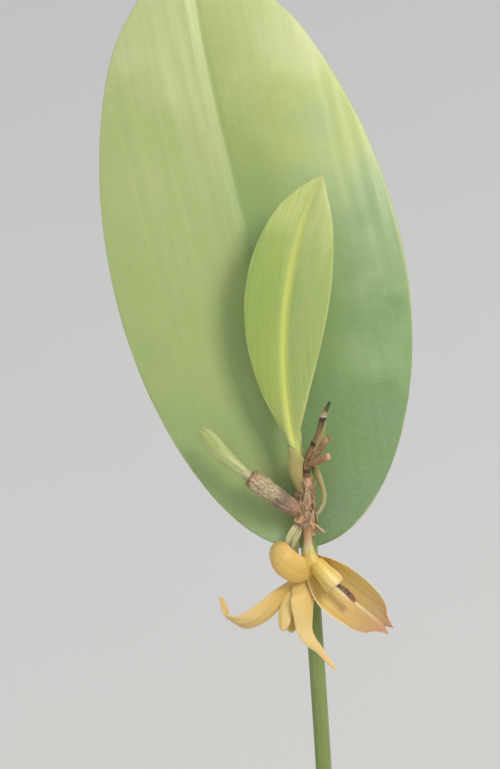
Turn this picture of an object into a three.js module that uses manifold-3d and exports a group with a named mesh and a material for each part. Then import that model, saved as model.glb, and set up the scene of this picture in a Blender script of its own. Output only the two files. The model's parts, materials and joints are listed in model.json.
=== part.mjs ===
// A potted orchid, Acianthera luteola, in millimetres with +Z up.
// The origin is the middle of the pot's foot. One growth carries the large leaf, with two flowers and a
// plantlet at the foot of its blade; its upper face looks towards -Y and upwards. Four shorter growths
// lean out of the same creeping rhizome.
import * as THREE from "three";
import { ParametricGeometry } from "three/addons/geometries/ParametricGeometry.js";
import { mergeVertices } from "three/addons/utils/BufferGeometryUtils.js";
import Module from "manifold-3d";

const wasm = await Module();
wasm.setup();

// Driving dimensions
const POT = { height: 72, footRadius: 27, bodyRadius: 37, rimRadius: 41, rimHeight: 16, wall: 4, floor: 5 };
const DRAIN_HOLES = { count: 3, radius: 4, ring: 14 };
const SOIL_TOP = 61; // top of the packed bark, below its loose chips
const RHIZOME = { radius: 2.1, height: SOIL_TOP + 3.4 };
const STEM_RADIUS = 0.95;
const ROOT_RADIUS = 1.0;
const LEAF_FOOT = [0, 14, 160]; // where the large leaf leaves its stem
const LEAF_LEAN = 30; // degrees from upright
const LEAF = { halfWidth: 17.3, widest: 0.469, fullness: 0.517, tipSharpness: 0.13, fold: 0.11 };
const PLANTLET_LEAF = { halfWidth: 5, widest: 0.557, fullness: 0.685, tipSharpness: 0.21, fold: 0.24 };
const SEPAL_THICKNESS = 0.6;
const GAP = 0.3; // kept between pieces that touch
const FINE_GAP = 0.12; // kept between the small pieces at the foot of the leaf

const FINISHES = {
  terracotta: { color: 0xb5694a, roughness: 0.85 },
  bark: { color: 0x6b4630, roughness: 0.95 },
  rhizome: { color: 0x8a6f4a, roughness: 0.8 },
  root: { color: 0xc9c2ac, roughness: 0.8 },
  stem: { color: 0x7c9a4e, roughness: 0.5 },
  sheath: { color: 0xb39a72, roughness: 0.85 },
  leaf: { color: 0x86a850, roughness: 0.45 },
  youngLeaf: { color: 0x9dbb58, roughness: 0.45 },
  dryBract: { color: 0x8f6b49, roughness: 0.9 },
  greenBract: { color: 0xc3c487, roughness: 0.6 },
  sepal: { color: 0xe6b84c, roughness: 0.45 },
  petal: { color: 0xe9c65c, roughness: 0.45 },
  lip: { color: 0x4a2430, roughness: 0.4 },
};

const part = new THREE.Group();

const at = (x, y, z) => new THREE.Vector3(x, y, z);
const through = (...points) =>
  new THREE.CatmullRomCurve3(points.map((point) => at(...point)), false, "centripetal");
const bezier = (...points) => new THREE.CubicBezierCurve3(...points.map((point) => at(...point)));
const { degToRad, lerp, smoothstep } = THREE.MathUtils;

function place(name, geometry, finish, group) {
  const material = new THREE.MeshStandardMaterial({ metalness: 0, ...FINISHES[finish] });
  const mesh = new THREE.Mesh(geometry, material);
  mesh.name = name;
  group.add(mesh);
}

// Merges shared corners and drops triangles that a closed end has flattened.
function welded(geometry) {
  const loose = geometry.index ? geometry.toNonIndexed() : geometry;
  const bare = new THREE.BufferGeometry().setAttribute("position", loose.getAttribute("position"));
  const merged = mergeVertices(bare);
  const corners = merged.index.array;
  const kept = [];
  for (let i = 0; i < corners.length; i += 3) {
    const [a, b, c] = corners.slice(i, i + 3);
    if (a !== b && b !== c && c !== a) kept.push(a, b, c);
  }
  return merged.setIndex(kept);
}

function toSolid(geometry) {
  const closed = welded(geometry);
  const vertProperties = closed.attributes.position.array;
  const triVerts = new Uint32Array(closed.index.array);
  const solid = new wasm.Manifold(new wasm.Mesh({ numProp: 3, vertProperties, triVerts }));
  if (solid.volume() > 0) return solid;
  return new wasm.Manifold(new wasm.Mesh({ numProp: 3, vertProperties, triVerts: triVerts.reverse() }));
}

// Back to a geometry. Scraps that a cut has freed are dropped.
function toGeometry(solid) {
  const bodies = solid.decompose().sort((a, b) => b.volume() - a.volume());
  const mesh = bodies[0].getMesh();
  const geometry = new THREE.BufferGeometry();
  geometry.setAttribute("position", new THREE.BufferAttribute(mesh.vertProperties, 3));
  return geometry.setIndex(new THREE.BufferAttribute(mesh.triVerts, 1));
}

const cut = (geometry, ...tools) =>
  toGeometry(tools.reduce((left, tool) => left.subtract(toSolid(tool)), toSolid(geometry)));
const fuse = (...pieces) =>
  toGeometry(pieces.map(toSolid).reduce((sum, piece) => sum.add(piece)));

// A stretch of a path between two shares of its length, which run on straight below 0 and above 1
class Stretch extends THREE.Curve {
  constructor(path, from, to) {
    super();
    Object.assign(this, { path, from, to });
  }
  getPoint(t, point = new THREE.Vector3()) {
    const share = lerp(this.from, this.to, t);
    const inside = THREE.MathUtils.clamp(share, 0, 1);
    const beyond = (share - inside) * this.path.getLength();
    return point.copy(this.path.getPointAt(inside)).addScaledVector(this.path.getTangentAt(inside), beyond);
  }
}

// A closed skin over rings that are set along a path. ring(t, turn) gives a point's distances from the
// path: sideways, upwards and onwards. across is the way the sideways distance is measured.
// With across the rings stand closer together towards both ends, which are then rounder.
function skin({ path, across, along, around, ring }) {
  const frames = path.computeFrenetFrames(along);
  const stations = along + 2;
  const surface = (round, row, point) => {
    const step = Math.round(row * stations);
    const station = THREE.MathUtils.clamp(step - 1, 0, along);
    const t = across ? 0.5 - 0.5 * Math.cos((Math.PI * station) / along) : station / along;
    const forward = across ? path.getTangentAt(t) : frames.tangents[station];
    const side = across
      ? at(...across).addScaledVector(forward, -forward.dot(at(...across))).normalize()
      : frames.binormals[station];
    const up = side.clone().cross(forward);
    point.copy(path.getPointAt(t));
    if (step === 0 || step === stations) return;
    const { sideways, upwards, onwards = 0 } = ring(t, -(round % 1) * 2 * Math.PI);
    point.addScaledVector(side, sideways).addScaledVector(up, upwards).addScaledVector(forward, onwards);
  };
  return new ParametricGeometry(surface, around, stations);
}

const extended = (path, extra) => {
  const share = extra / path.getLength();
  return extra ? new Stretch(path, -share, 1 + share) : path;
};

// A round stem, stalk or root. slant pushes one side of its far end on by that length.
function stalk({ path, radius, along = 8, around = 7, slant = 0 }, extra = 0) {
  const reach = (t) => extra + (typeof radius === "function" ? radius(t) : radius);
  return skin({
    path: extended(path, extra),
    along,
    around,
    ring: (t, turn) => ({
      sideways: reach(t) * Math.cos(turn),
      upwards: reach(t) * Math.sin(turn),
      onwards: slant * Math.cos(turn) * t ** 6,
    }),
  });
}

// A leaf, sepal, petal or bract with blunt margins. Its upper face is on the side of across times the
// path's direction, and rise(a, t) lifts it, where a runs from -1 at one margin to 1 at the other.
const BLUNTNESS = 0.45;
function blade(organ, extra = 0) {
  const { path, across, halfWidth, thickness, rise = () => 0, along = 9, around = 10 } = organ;
  const depth = (t) => 2 * extra + (typeof thickness === "function" ? thickness(t) : thickness);
  return skin({
    path: extended(path, extra),
    across,
    along,
    around,
    ring: (t, turn) => {
      const a = Math.cos(turn);
      const layer = Math.sign(Math.sin(turn)) * Math.abs(Math.sin(turn)) ** BLUNTNESS;
      return { sideways: a * (halfWidth(t) + extra), upwards: rise(a, t) + 0.5 * depth(t) * layer };
    },
  });
}

// The solid of an organ, or the room that it needs in its neighbours when extra is the gap to leave
const grown = (organ, extra) => (organ.halfWidth ? blade(organ, extra) : stalk(organ, extra));
const room = (gap, ...organs) => organs.map((organ) => grown(organ, gap));

// Half widths, or radii, at equal shares of a piece's length
function widths(...values) {
  const spline = new THREE.SplineCurve(values.map((value, i) => new THREE.Vector2(i, value)));
  return (t) => Math.max(spline.getPoint(t).y, 0.1);
}

// The same half widths with a round tip, which takes up the last share of the length
const ROUND_TIP = 0.12;
const roundTipped = (halfWidth) => (t) => {
  const inTip = Math.max(0, (t - 1 + ROUND_TIP) / ROUND_TIP);
  return Math.max(halfWidth(t) * Math.sqrt(1 - inTip ** 2), 0.15);
};

// Half widths of an elliptic leaf, which is never narrower than its stalk
function elliptic({ halfWidth, widest, fullness, tipSharpness }, stalkWidth = 0) {
  const skew = Math.log(0.5) / Math.log(widest);
  return (t) => {
    const power = fullness + tipSharpness * smoothstep(t, 0.82, 1);
    const width = halfWidth * Math.max(Math.sin(Math.PI * t ** skew), 0) ** power;
    return Math.max(width, stalkWidth * (1 - smoothstep(t, 0.06, 0.3)), 0.25);
  };
}

// Both halves of a leaf arch up from the sunken midrib.
const folded = (fold, halfWidth) => (a, t) => fold * halfWidth(t) * Math.abs(a) * (1.5 - Math.abs(a));
// A trough, with its margins raised by depth
const troughed = (depth) => (a, t) => depth * a * a * Math.sin(Math.PI * lerp(0.2, 0.9, t));

// A wedge that cuts a V into a blade's tip, as deep as depth and twice width across
function tipNotch({ path, across }, width, depth) {
  const onwards = path.getTangentAt(1);
  const side = at(...across).addScaledVector(onwards, -onwards.dot(at(...across))).normalize();
  const frame = new THREE.Matrix4().makeBasis(side, onwards, side.clone().cross(onwards));
  const wedge = new THREE.ConeGeometry(2 * width, 2 * depth, 4).rotateX(Math.PI).scale(1, 1, 6);
  return wedge.applyMatrix4(frame.setPosition(path.getPointAt(1)));
}

// A sleeve round a stem between two shares of its path, with an oblique mouth
function sleeve({ path, from, to, inner, wall, slant, flare = 0, along = 3, around = 8 }) {
  const spread = (t) => flare * t * t;
  const outside = { path: new Stretch(path, from, to), radius: (t) => inner + wall + spread(t), slant };
  const past = 0.1;
  const bore = { path: new Stretch(path, from - past, to + past), radius: (t) => inner + spread(t) };
  return cut(stalk({ ...outside, along, around }), stalk({ ...bore, along, around }));
}

// The same draws on every run
let seed = 20010815;
function random(low, high) {
  seed = (seed * 1664525 + 1013904223) % 4294967296;
  return low + ((high - low) * seed) / 4294967296;
}

// Pot of thrown clay, with a plain rim band and drain holes round a solid middle
const innerRadius = (z) =>
  lerp(POT.footRadius - POT.wall, POT.rimRadius - POT.wall, (z - POT.floor) / (POT.height - POT.floor));
const lathe = (outline, turns) =>
  new THREE.LatheGeometry(outline.map(([r, z]) => new THREE.Vector2(r, z)), turns).rotateX(Math.PI / 2);

function pot() {
  const { height, footRadius, bodyRadius, rimRadius, rimHeight, wall, floor } = POT;
  const band = height - rimHeight;
  const wallAndFloor = lathe([
    [0, 0],
    [footRadius - 1.5, 0],
    [footRadius, 1.5],
    [bodyRadius, band],
    [rimRadius - 1.6, band],
    [rimRadius - 0.8, band + 1],
    [rimRadius, height - 1.5],
    [rimRadius - 1.2, height],
    [rimRadius - wall + 0.8, height],
    [rimRadius - wall, height - 1],
    [innerRadius(floor + 3), floor + 3],
    [footRadius - wall - 3, floor],
    [0, floor],
  ], 32);
  const holes = Array.from({ length: DRAIN_HOLES.count }, (_, i) => {
    const turn = (i / DRAIN_HOLES.count) * 2 * Math.PI;
    const hole = new THREE.CylinderGeometry(DRAIN_HOLES.radius, DRAIN_HOLES.radius, 3 * floor, 12);
    return hole.rotateX(Math.PI / 2)
      .translate(DRAIN_HOLES.ring * Math.cos(turn), DRAIN_HOLES.ring * Math.sin(turn), 0);
  });
  return cut(wallAndFloor, ...holes);
}

// Bark: a packed plug under loose chips, with plain holes for what grows in it
const CHIP_RINGS = [[1, 0], [5, 9], [9, 17.5], [13, 26]]; // how many chips, and their ring's radius
function bark(holes) {
  const bottom = POT.floor + 0.4;
  const plug = lathe([
    [0, bottom],
    [POT.footRadius - POT.wall - 3.5, bottom],
    [innerRadius(bottom + 3) - GAP, bottom + 3],
    [innerRadius(SOIL_TOP - 1) - GAP, SOIL_TOP - 1],
    [innerRadius(SOIL_TOP) - 2, SOIL_TOP],
    [0, SOIL_TOP],
  ], 24);
  const chips = CHIP_RINGS.flatMap(([count, radius]) =>
    Array.from({ length: count }, (_, i) => {
      const turn = ((i + random(-0.25, 0.25)) / count) * 2 * Math.PI + radius;
      const chip = new THREE.BoxGeometry(random(9, 13), random(5.5, 8), random(2.8, 4.4));
      chip.rotateX(random(-0.35, 0.35)).rotateY(random(-0.35, 0.35)).rotateZ(random(0, Math.PI));
      return chip.translate(radius * Math.cos(turn), radius * Math.sin(turn), SOIL_TOP + random(-0.4, 0.9));
    }),
  );
  return cut(fuse(plug, ...chips), ...holes);
}

// Creeping rhizome, which lies half sunk in the bark
const rhizome = {
  path: through(
    [-19, -1, RHIZOME.height - 1],
    [-12, 1.5, RHIZOME.height],
    [-3, -2.5, RHIZOME.height],
    [6, -6, RHIZOME.height],
    [14, -3, RHIZOME.height],
    [20, -4.5, RHIZOME.height - 1],
  ),
  radius: (t) => {
    const ringed = 1 + 0.13 * Math.sin(52 * t);
    return RHIZOME.radius * ringed * (0.55 + 0.45 * Math.sin(Math.PI * t) ** 0.4);
  },
  along: 22,
  around: 8,
};
const rhizomePoint = (share) => rhizome.path.getPointAt(share);

// Roots arch off the rhizome and dive into the bark: the share of the rhizome that each leaves, the
// middle of its arch from there, and where it ends below.
const ROOTS = [
  { share: 0.12, arch: [-5, 9, 3.5], end: [-23, 15, SOIL_TOP - 9] },
  { share: 0.3, arch: [-3, -11, 3], end: [-14, -19, SOIL_TOP - 10] },
  { share: 0.5, arch: [2, 11, 3.5], end: [4, 16, SOIL_TOP - 8] },
  { share: 0.72, arch: [5, -10, 3], end: [18, -20, SOIL_TOP - 9] },
  { share: 0.93, arch: [6, 7, 2.5], end: [25, 11, SOIL_TOP - 8] },
].map(({ share, arch, end }) => {
  const start = rhizomePoint(share);
  return {
    path: new THREE.QuadraticBezierCurve3(start, start.clone().add(at(...arch)), at(...end)),
    radius: (t) => ROOT_RADIUS * (1 - 0.25 * t),
    along: 7,
    around: 6,
  };
});

const stemRadius = (t) => STEM_RADIUS * (1.15 - 0.35 * t + 0.25 * t ** 3);
const STEM_SHEATH = { wall: 0.5, slant: 1.6, flare: 0.3 };

// Places a stem, which stands on the rhizome, and its sheaths between the given shares of its length.
function placeStem(name, stem, sheaths) {
  place(`ramicaul_${name}`, cut(grown(stem), ...room(GAP, rhizome)), "stem", part);
  for (const [sheathName, from, to] of sheaths) {
    const shape = sleeve({ path: stem.path, from, to, inner: stemRadius(from) + GAP, ...STEM_SHEATH });
    place(sheathName, cut(shape, ...room(GAP, rhizome, ...ROOTS)), "sheath", part);
  }
}

// Shorter growths. foot is where they stand as a share of the rhizome, and heading the way they lean, in
// degrees from +X towards +Y. out and up are how far their stems reach. The rest is the leaf's.
const GROWTHS = [
  { name: "left", foot: 0.14, heading: 172, out: 34, up: 74, length: 62, halfWidth: 14.4, droop: 4 },
  { name: "right", foot: 0.86, heading: 18, out: 31, up: 62, length: 55, halfWidth: 12.8, droop: 6 },
  { name: "front_left", foot: 0.33, heading: 222, out: 27, up: 47, length: 47, halfWidth: 11.2, droop: 12 },
  { name: "front_right", foot: 0.7, heading: 304, out: 21, up: 31, length: 37, halfWidth: 9, droop: 10 },
];

function growthStem({ foot, heading, out, up }) {
  const start = rhizomePoint(foot);
  const outwards = at(Math.cos(degToRad(heading)), Math.sin(degToRad(heading)), 0);
  const bend = start.clone().addScaledVector(outwards, 0.2 * out).add(at(0, 0, 0.6 * up));
  const tip = start.clone().addScaledVector(outwards, out).add(at(0, 0, up));
  const path = new THREE.QuadraticBezierCurve3(start, bend, tip);
  return { path, radius: stemRadius, along: 10, around: 7 };
}

// A leaf in its own frame: x across, y onwards and z out of its upper face
const GROWTH_LEAF = { ...LEAF, fullness: 0.66, fold: 0.14 };
function growthLeaf({ length, halfWidth }) {
  const shape = { ...GROWTH_LEAF, halfWidth };
  const tip = [0, 0.97 * length, -0.17 * length];
  return blade({
    path: bezier([0, 0, 0], [0, 0.33 * length, 0], [0, 0.7 * length, -0.03 * length], tip),
    across: [1, 0, 0],
    halfWidth: elliptic(shape, 1.3),
    thickness: (t) => lerp(1.9, 0.9, smoothstep(t, 0, 0.3)),
    rise: folded(GROWTH_LEAF.fold, elliptic(shape)),
    along: 12,
    around: 12,
  });
}

function placeGrowth(growth, stem) {
  placeStem(growth.name, stem, [[`sheath_${growth.name}`, 0.03, 0.3]]);
  const forward = stem.path.getTangentAt(1);
  const side = forward.clone().cross(at(0, 0, 1)).normalize();
  forward.applyAxisAngle(side, -degToRad(growth.droop));
  const frame = new THREE.Group();
  frame.matrix.makeBasis(side, forward, side.clone().cross(forward)).setPosition(stem.path.getPointAt(1));
  frame.matrix.decompose(frame.position, frame.quaternion, frame.scale);
  const stemRoom = room(GAP, stem).map((solid) => solid.applyMatrix4(frame.matrix.clone().invert()));
  place(`leaf_${growth.name}`, cut(growthLeaf(growth), ...stemRoom), "leaf", frame);
  part.add(frame);
}

// The large leaf's own frame: x across to the right, y up the blade and z out of its upper face
const leafFrame = new THREE.Group();
leafFrame.position.set(...LEAF_FOOT);
leafFrame.rotation.x = degToRad(90 - LEAF_LEAN);
leafFrame.updateMatrixWorld(true);
part.add(leafFrame);
const inLeafFrame = (geometry) => geometry.applyMatrix4(leafFrame.matrixWorld.clone().invert());

const STEM_TIP = [0.9, 0.9, 0.9]; // in the leaf's frame, just above the blade's foot
const floweringStem = {
  path: new THREE.CubicBezierCurve3(
    rhizomePoint(0.55),
    at(6.5, -7, 100),
    at(2.4, 7, 136),
    leafFrame.localToWorld(at(...STEM_TIP)),
  ),
  radius: stemRadius,
  along: 18,
  around: 8,
};

function largeLeaf() {
  const halfWidth = elliptic(LEAF);
  const whole = blade({
    path: bezier([0.7, -2.1, 0], [-1.2, 23.8, 1.2], [-10, 45.6, 1], [-13.4, 69.7, -3]),
    across: [1, 0, 0],
    halfWidth,
    thickness: (t) => lerp(1.2, 0.9, t),
    rise: folded(LEAF.fold, halfWidth),
    along: 18,
    around: 16,
  });
  return cut(whole, ...room(GAP, floweringStem).map(inLeafFrame));
}

// What grows at the foot of the large leaf, in that leaf's frame. First a brown fibrous crown on the
// stem's tip, with a dry point on its right.
const crown = {
  path: through([0.7, -0.2, 1.8], [0.7, 0.95, 2.5], [0.6, 2.5, 2.9], [0.55, 4.3, 3.2], [0.55, 5.7, 3.4]),
  radius: (t) => 1.4 - 0.65 * t ** 1.5 + 0.07 * Math.sin(38 * t),
  along: 9,
  around: 8,
};
const crownPoint = {
  path: through([0.9, 1.3, 2.6], [2, 0.5, 2.6], [2.9, -0.1, 2.4]),
  radius: (t) => 0.45 - 0.33 * t,
  along: 4,
  around: 5,
};

// Old flower stalk with swollen joints and two broken side stubs
const oldStalk = {
  path: through(
    [0.6, 6.2, 3.7],
    [0.6, 7.35, 4.1],
    [1.05, 9, 4.6],
    [1.75, 10.55, 5],
    [2.25, 12.1, 5.4],
    [2.65, 13.6, 5.8],
    [3.4, 15.25, 6.2],
  ),
  radius: widths(0.56, 0.58, 0.66, 0.54, 0.46, 0.38, 0.1),
  along: 12,
};
const upperStub = {
  path: through([1.2, 9, 4.7], [2.25, 9.75, 5.4], [2.9, 10.7, 5.9], [3.3, 11.05, 6.1]),
  radius: (t) => 0.5 - 0.12 * t,
  along: 5,
  around: 6,
};
const lowerStub = {
  path: through([1, 8.3, 4.6], [1.9, 8.35, 5.4], [2.65, 8.7, 6.1], [3.35, 8.75, 6.5]),
  radius: (t) => 0.5 - 0.08 * t,
  along: 5,
  around: 6,
};

// Pale strip that bows out beside the old stalk
const paleStrip = {
  path: through(
    [1.9, 2.05, 3.2],
    [2.45, 2.85, 3.4],
    [2.7, 4.15, 3.6],
    [2.3, 5.7, 3.7],
    [1.7, 7.1, 3.6],
    [1.4, 8.3, 3.5],
  ),
  radius: (t) => 0.33 + 0.07 * Math.sin(Math.PI * t),
  around: 6,
};

// Plantlet: a short stem in a sheath, with one upright leaf that ends in a notch
const plantletStem = {
  path: through([0.3, 4.3, 3.9], [-0.2, 5.7, 4.3], [-0.5, 7.5, 4.7], [-0.35, 9.25, 5.1], [-0.85, 10.7, 5.3]),
  radius: widths(0.5, 0.52, 0.56, 0.76, 0.72),
  around: 8,
};
const plantletSheath = {
  path: plantletStem.path,
  from: 0.08,
  to: 0.62,
  inner: 0.68,
  wall: 0.26,
  slant: 0.75,
};
const plantletBlade = {
  path: bezier([-0.88, 10.8, 5.34], [-3, 20.3, 6], [-2.1, 32.5, 8], [2.6, 41.9, 8.8]),
  across: [1, 0, 0.14],
  halfWidth: elliptic(PLANTLET_LEAF, 0.75),
  thickness: (t) => lerp(1.1, 0.7, smoothstep(t, 0, 0.25)),
  rise: folded(PLANTLET_LEAF.fold, elliptic(PLANTLET_LEAF)),
  along: 14,
  around: 12,
};
const plantletLeaf = cut(blade(plantletBlade), tipNotch(plantletBlade, 0.11, 0.45));

// Young shoot: the folded leaf comes out of a tight pale sheath, which comes out of a mottled one.
const shootPath = through(
  [-0.3, 2.4, 3.7],
  [-1.1, 2.95, 3.9],
  [-2.5, 3.95, 4.3],
  [-4.2, 5.1, 4.8],
  [-5.7, 6.25, 5.2],
  [-7.1, 7.35, 5.6],
  [-9.1, 9, 6.1],
  [-11, 11.3, 6.7],
  [-11.85, 12.2, 7],
);
const mottledSheath = {
  path: shootPath,
  from: 0,
  to: 0.45,
  inner: 0.76,
  wall: 0.34,
  slant: 0.3,
  flare: 0.22,
};
const paleSheath = { path: shootPath, from: 0.41, to: 0.6, inner: 0.57, wall: 0.28, slant: 0.3 };
const shootLeaf = {
  path: new Stretch(shootPath, 0.12, 1),
  across: [0.6, 0.8, 0],
  halfWidth: roundTipped(widths(0.4, 0.4, 0.42, 0.46, 0.85, 0.9, 0.65)),
  thickness: 0.6,
  rise: (a, t) => 0.5 * a * a * smoothstep(t, 0.5, 0.75),
  along: 10,
};
const sleeveRoom = ({ path, from, to, inner, wall }) => ({
  path: new Stretch(path, from, to),
  radius: inner + wall,
  along: 3,
  around: 8,
});

const greenBract = {
  path: through([-0.15, 0.95, 2.8], [-0.9, 0, 3.3], [-1.45, -1.05, 3.2], [-1.75, -2, 3]),
  across: [0.8, -0.6, 0],
  halfWidth: widths(0.3, 0.42, 0.45, 0.2),
  thickness: 0.6,
  along: 6,
  around: 8,
};

// Flowers. The sepals, petals, column and lip all start beside the swollen end of the flower's stalk.
const PETAL = { halfWidth: roundTipped(widths(0.45, 0.68, 0.7, 0.5)), along: 8, around: 8 };

const openFlower = {
  stalk: {
    path: through(
      [0.85, 0.7, 2.9],
      [0.85, -0.3, 3.7],
      [0.9, -1.7, 4.1],
      [1.05, -3.15, 3.9],
      [1.25, -4.1, 3.7],
    ),
    radius: (t) => 0.52 + 0.5 * t ** 4,
    around: 8,
  },
  column: {
    path: through([1.8, -4.3, 4.8], [2.6, -5.25, 5.3], [3.5, -6.15, 5.3]),
    radius: (t) => 0.5 + 0.1 * t,
    along: 6,
  },
  lip: {
    path: through([2.1, -5, 3.4], [3.7, -6.3, 3.6], [5.3, -7.3, 3.7], [6.1, -8.2, 3.7], [6.65, -8.5, 4.1]),
    across: [-0.6, -0.8, 0],
    halfWidth: widths(0.25, 0.3, 0.35, 0.45, 0.3),
    around: 8,
  },
  petal_left: {
    path: through([1.3, -4.7, 4.6], [2.15, -5.8, 4.8], [2.95, -6.7, 4.8], [3.6, -7.4, 4.6]),
    across: [-0.7, -0.55, -0.5],
    rise: troughed(0.3),
    ...PETAL,
  },
  petal_right: {
    path: through([2.3, -3.85, 4.5], [3.2, -4.7, 4.8], [4.05, -5.65, 4.8], [4.65, -6.4, 4.6]),
    across: [-0.65, -0.5, 0.5],
    rise: troughed(0.3),
    ...PETAL,
  },
  synsepal: {
    path: through([1, -3.9, 2.4], [4.1, -6.8, 1.6], [7.3, -9.45, 1.7], [10.7, -11.9, 3]),
    across: [-0.62, -0.79, 0],
    halfWidth: roundTipped(widths(1.6, 2.8, 2.85, 2.4, 0.9)),
    rise: troughed(1.6),
    along: 12,
    around: 14,
    notch: [0.16, 1.1],
  },
  dorsal_sepal: {
    path: through(
      [0.6, -4.65, 4.4],
      [-0.65, -4.0, 6.4],
      [-1.8, -3.25, 7.2],
      [-2.75, -2.6, 6],
      [-3.1, -2.45, 3.8],
      [-2.75, -2.85, 1.9],
    ),
    across: [0.5, 0.86, 0],
    halfWidth: roundTipped(widths(1.45, 1.75, 1.8, 1.8, 1.5, 0.8)),
    rise: troughed(-0.5),
    along: 12,
  },
};

const sideFlower = {
  stalk: {
    path: through(
      [0.2, 0.8, 2.4],
      [-0.25, -0.25, 2.4],
      [-0.6, -1.8, 2],
      [-0.55, -3.7, 1.8],
      [-0.25, -5.35, 2],
      [0, -6, 2.1],
    ),
    radius: (t) => 0.46 + 0.44 * t ** 5,
    around: 8,
  },
  column: {
    path: through([0.0, -5.9, 2.3], [-0.15, -7.9, 2.3], [-0.4, -9.7, 2.3]),
    radius: (t) => 0.42 + 0.1 * t,
    along: 6,
  },
  lip: {
    path: through([0.5, -6.3, 2.1], [0.7, -8.3, 2], [0.95, -9.8, 2], [1.2, -11, 2.1]),
    across: [0, 0, 1],
    halfWidth: widths(0.25, 0.3, 0.35, 0.4, 0.25),
    around: 8,
  },
  petal_left: {
    path: through([-0.2, -6, 2.9], [-1.35, -8.3, 3.6], [-1.8, -10.1, 3.7], [-1.9, -11.75, 3.5]),
    across: [0.8, 0, 0.6],
    rise: troughed(0.25),
    ...PETAL,
  },
  petal_right: {
    path: through([-0.1, -6.1, 1.5], [-0.6, -9, 0.9], [-0.85, -10.65, 0.7], [-0.9, -12.2, 0.7]),
    across: [0.8, 0, -0.6],
    rise: troughed(-0.25),
    ...PETAL,
  },
  synsepal: {
    path: through(
      [0.75, -5.9, 2.2],
      [1.4, -9.8, 2.4],
      [2.05, -12.55, 2.4],
      [3, -14.35, 2.2],
      [4.25, -16.4, 2],
    ),
    across: [0.25, 0, 0.97],
    halfWidth: widths(1.1, 1.9, 1.8, 1.1, 0.3),
    rise: (a, t) => -2 * a * a * (1 - t * t),
    along: 12,
    around: 12,
  },
  dorsal_sepal: {
    path: through(
      [-0.2, -6.05, 2.4],
      [-2.6, -8.25, 2.6],
      [-4.7, -9.8, 2.6],
      [-6.8, -10.55, 2.4],
      [-8.45, -9.6, 2.2],
      [-9.3, -7.85, 2.2],
    ),
    across: [-0.35, 0.35, 0.87],
    halfWidth: widths(1, 1.5, 1.6, 1.5, 0.95, 0.2),
    rise: troughed(0.8),
    along: 14,
  },
};

const FLOWER_FINISHES = {
  stalk: "greenBract",
  column: "petal",
  lip: "lip",
  petal_left: "petal",
  petal_right: "petal",
  synsepal: "sepal",
  dorsal_sepal: "sepal",
};
function flowerPieces(name, flower) {
  return Object.entries(flower).map(([piece, form]) => {
    const organ = { thickness: SEPAL_THICKNESS, ...form };
    const notches = form.notch ? [tipNotch(form, ...form.notch)] : [];
    return {
      name: `flower_${name}_${piece}`,
      organs: [organ],
      solid: cut(grown(organ, 0), ...notches),
      finish: FLOWER_FINISHES[piece],
    };
  });
}

// Places the pieces at the leaf's foot, each cut clear of those before it. A piece with a solid of its
// own still makes room by its organs.
function placeInTurn(pieces) {
  const before = room(GAP, floweringStem).map(inLeafFrame);
  for (const { name, organs, solid = fuse(...room(0, ...organs)), finish } of pieces) {
    place(name, cut(solid, ...before), finish, leafFrame);
    before.push(...room(FINE_GAP, ...organs));
  }
}

function sheathPiece(name, shape) {
  return { name, organs: [sleeveRoom(shape)], solid: sleeve(shape), finish: "sheath" };
}

const stems = GROWTHS.map(growthStem);
place("pot", pot(), "terracotta", part);
place("rhizome", grown(rhizome), "rhizome", part);
ROOTS.forEach((root, i) => place(`root_${i + 1}`, cut(grown(root), ...room(GAP, rhizome)), "root", part));
place("bark", bark(room(GAP, rhizome, ...ROOTS)), "bark", part);
GROWTHS.forEach((growth, i) => placeGrowth(growth, stems[i]));
placeStem("flowering", floweringStem, [
  ["sheath_flowering_lower", 0.03, 0.2],
  ["sheath_flowering_upper", 0.4, 0.56],
]);
place("leaf_flowering", largeLeaf(), "leaf", leafFrame);
placeInTurn([
  { name: "plantlet_ramicaul", organs: [plantletStem], finish: "youngLeaf" },
  { name: "plantlet_leaf", organs: [plantletBlade], solid: plantletLeaf, finish: "youngLeaf" },
  sheathPiece("plantlet_sheath", plantletSheath),
  { name: "shoot_leaf", organs: [shootLeaf], finish: "youngLeaf" },
  sheathPiece("shoot_pale_sheath", paleSheath),
  sheathPiece("shoot_mottled_sheath", mottledSheath),
  ...flowerPieces("open", openFlower),
  ...flowerPieces("side", sideFlower),
  { name: "green_bract", organs: [greenBract], finish: "greenBract" },
  { name: "old_flower_stalk", organs: [oldStalk, upperStub, lowerStub], finish: "dryBract" },
  { name: "pale_strip", organs: [paleStrip], finish: "greenBract" },
  { name: "crown", organs: [crown, crownPoint], finish: "dryBract" },
]);

export default part;
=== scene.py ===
"""A potted orchid, Acianthera luteola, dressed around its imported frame.

Shapes are worked out in millimetres and end in metres, in the frame's own place. Pieces at the foot of the
large leaf are given in that leaf's frame: x across to the right, y up the blade, z out of its upper face.
"""
import bisect
import json
import math
import random
from collections import namedtuple

import bmesh
import bpy
from bpy.props import FloatProperty, FloatVectorProperty, IntProperty, PointerProperty
from mathutils import Matrix, Vector, noise
from mathutils.geometry import interpolate_bezier

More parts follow.
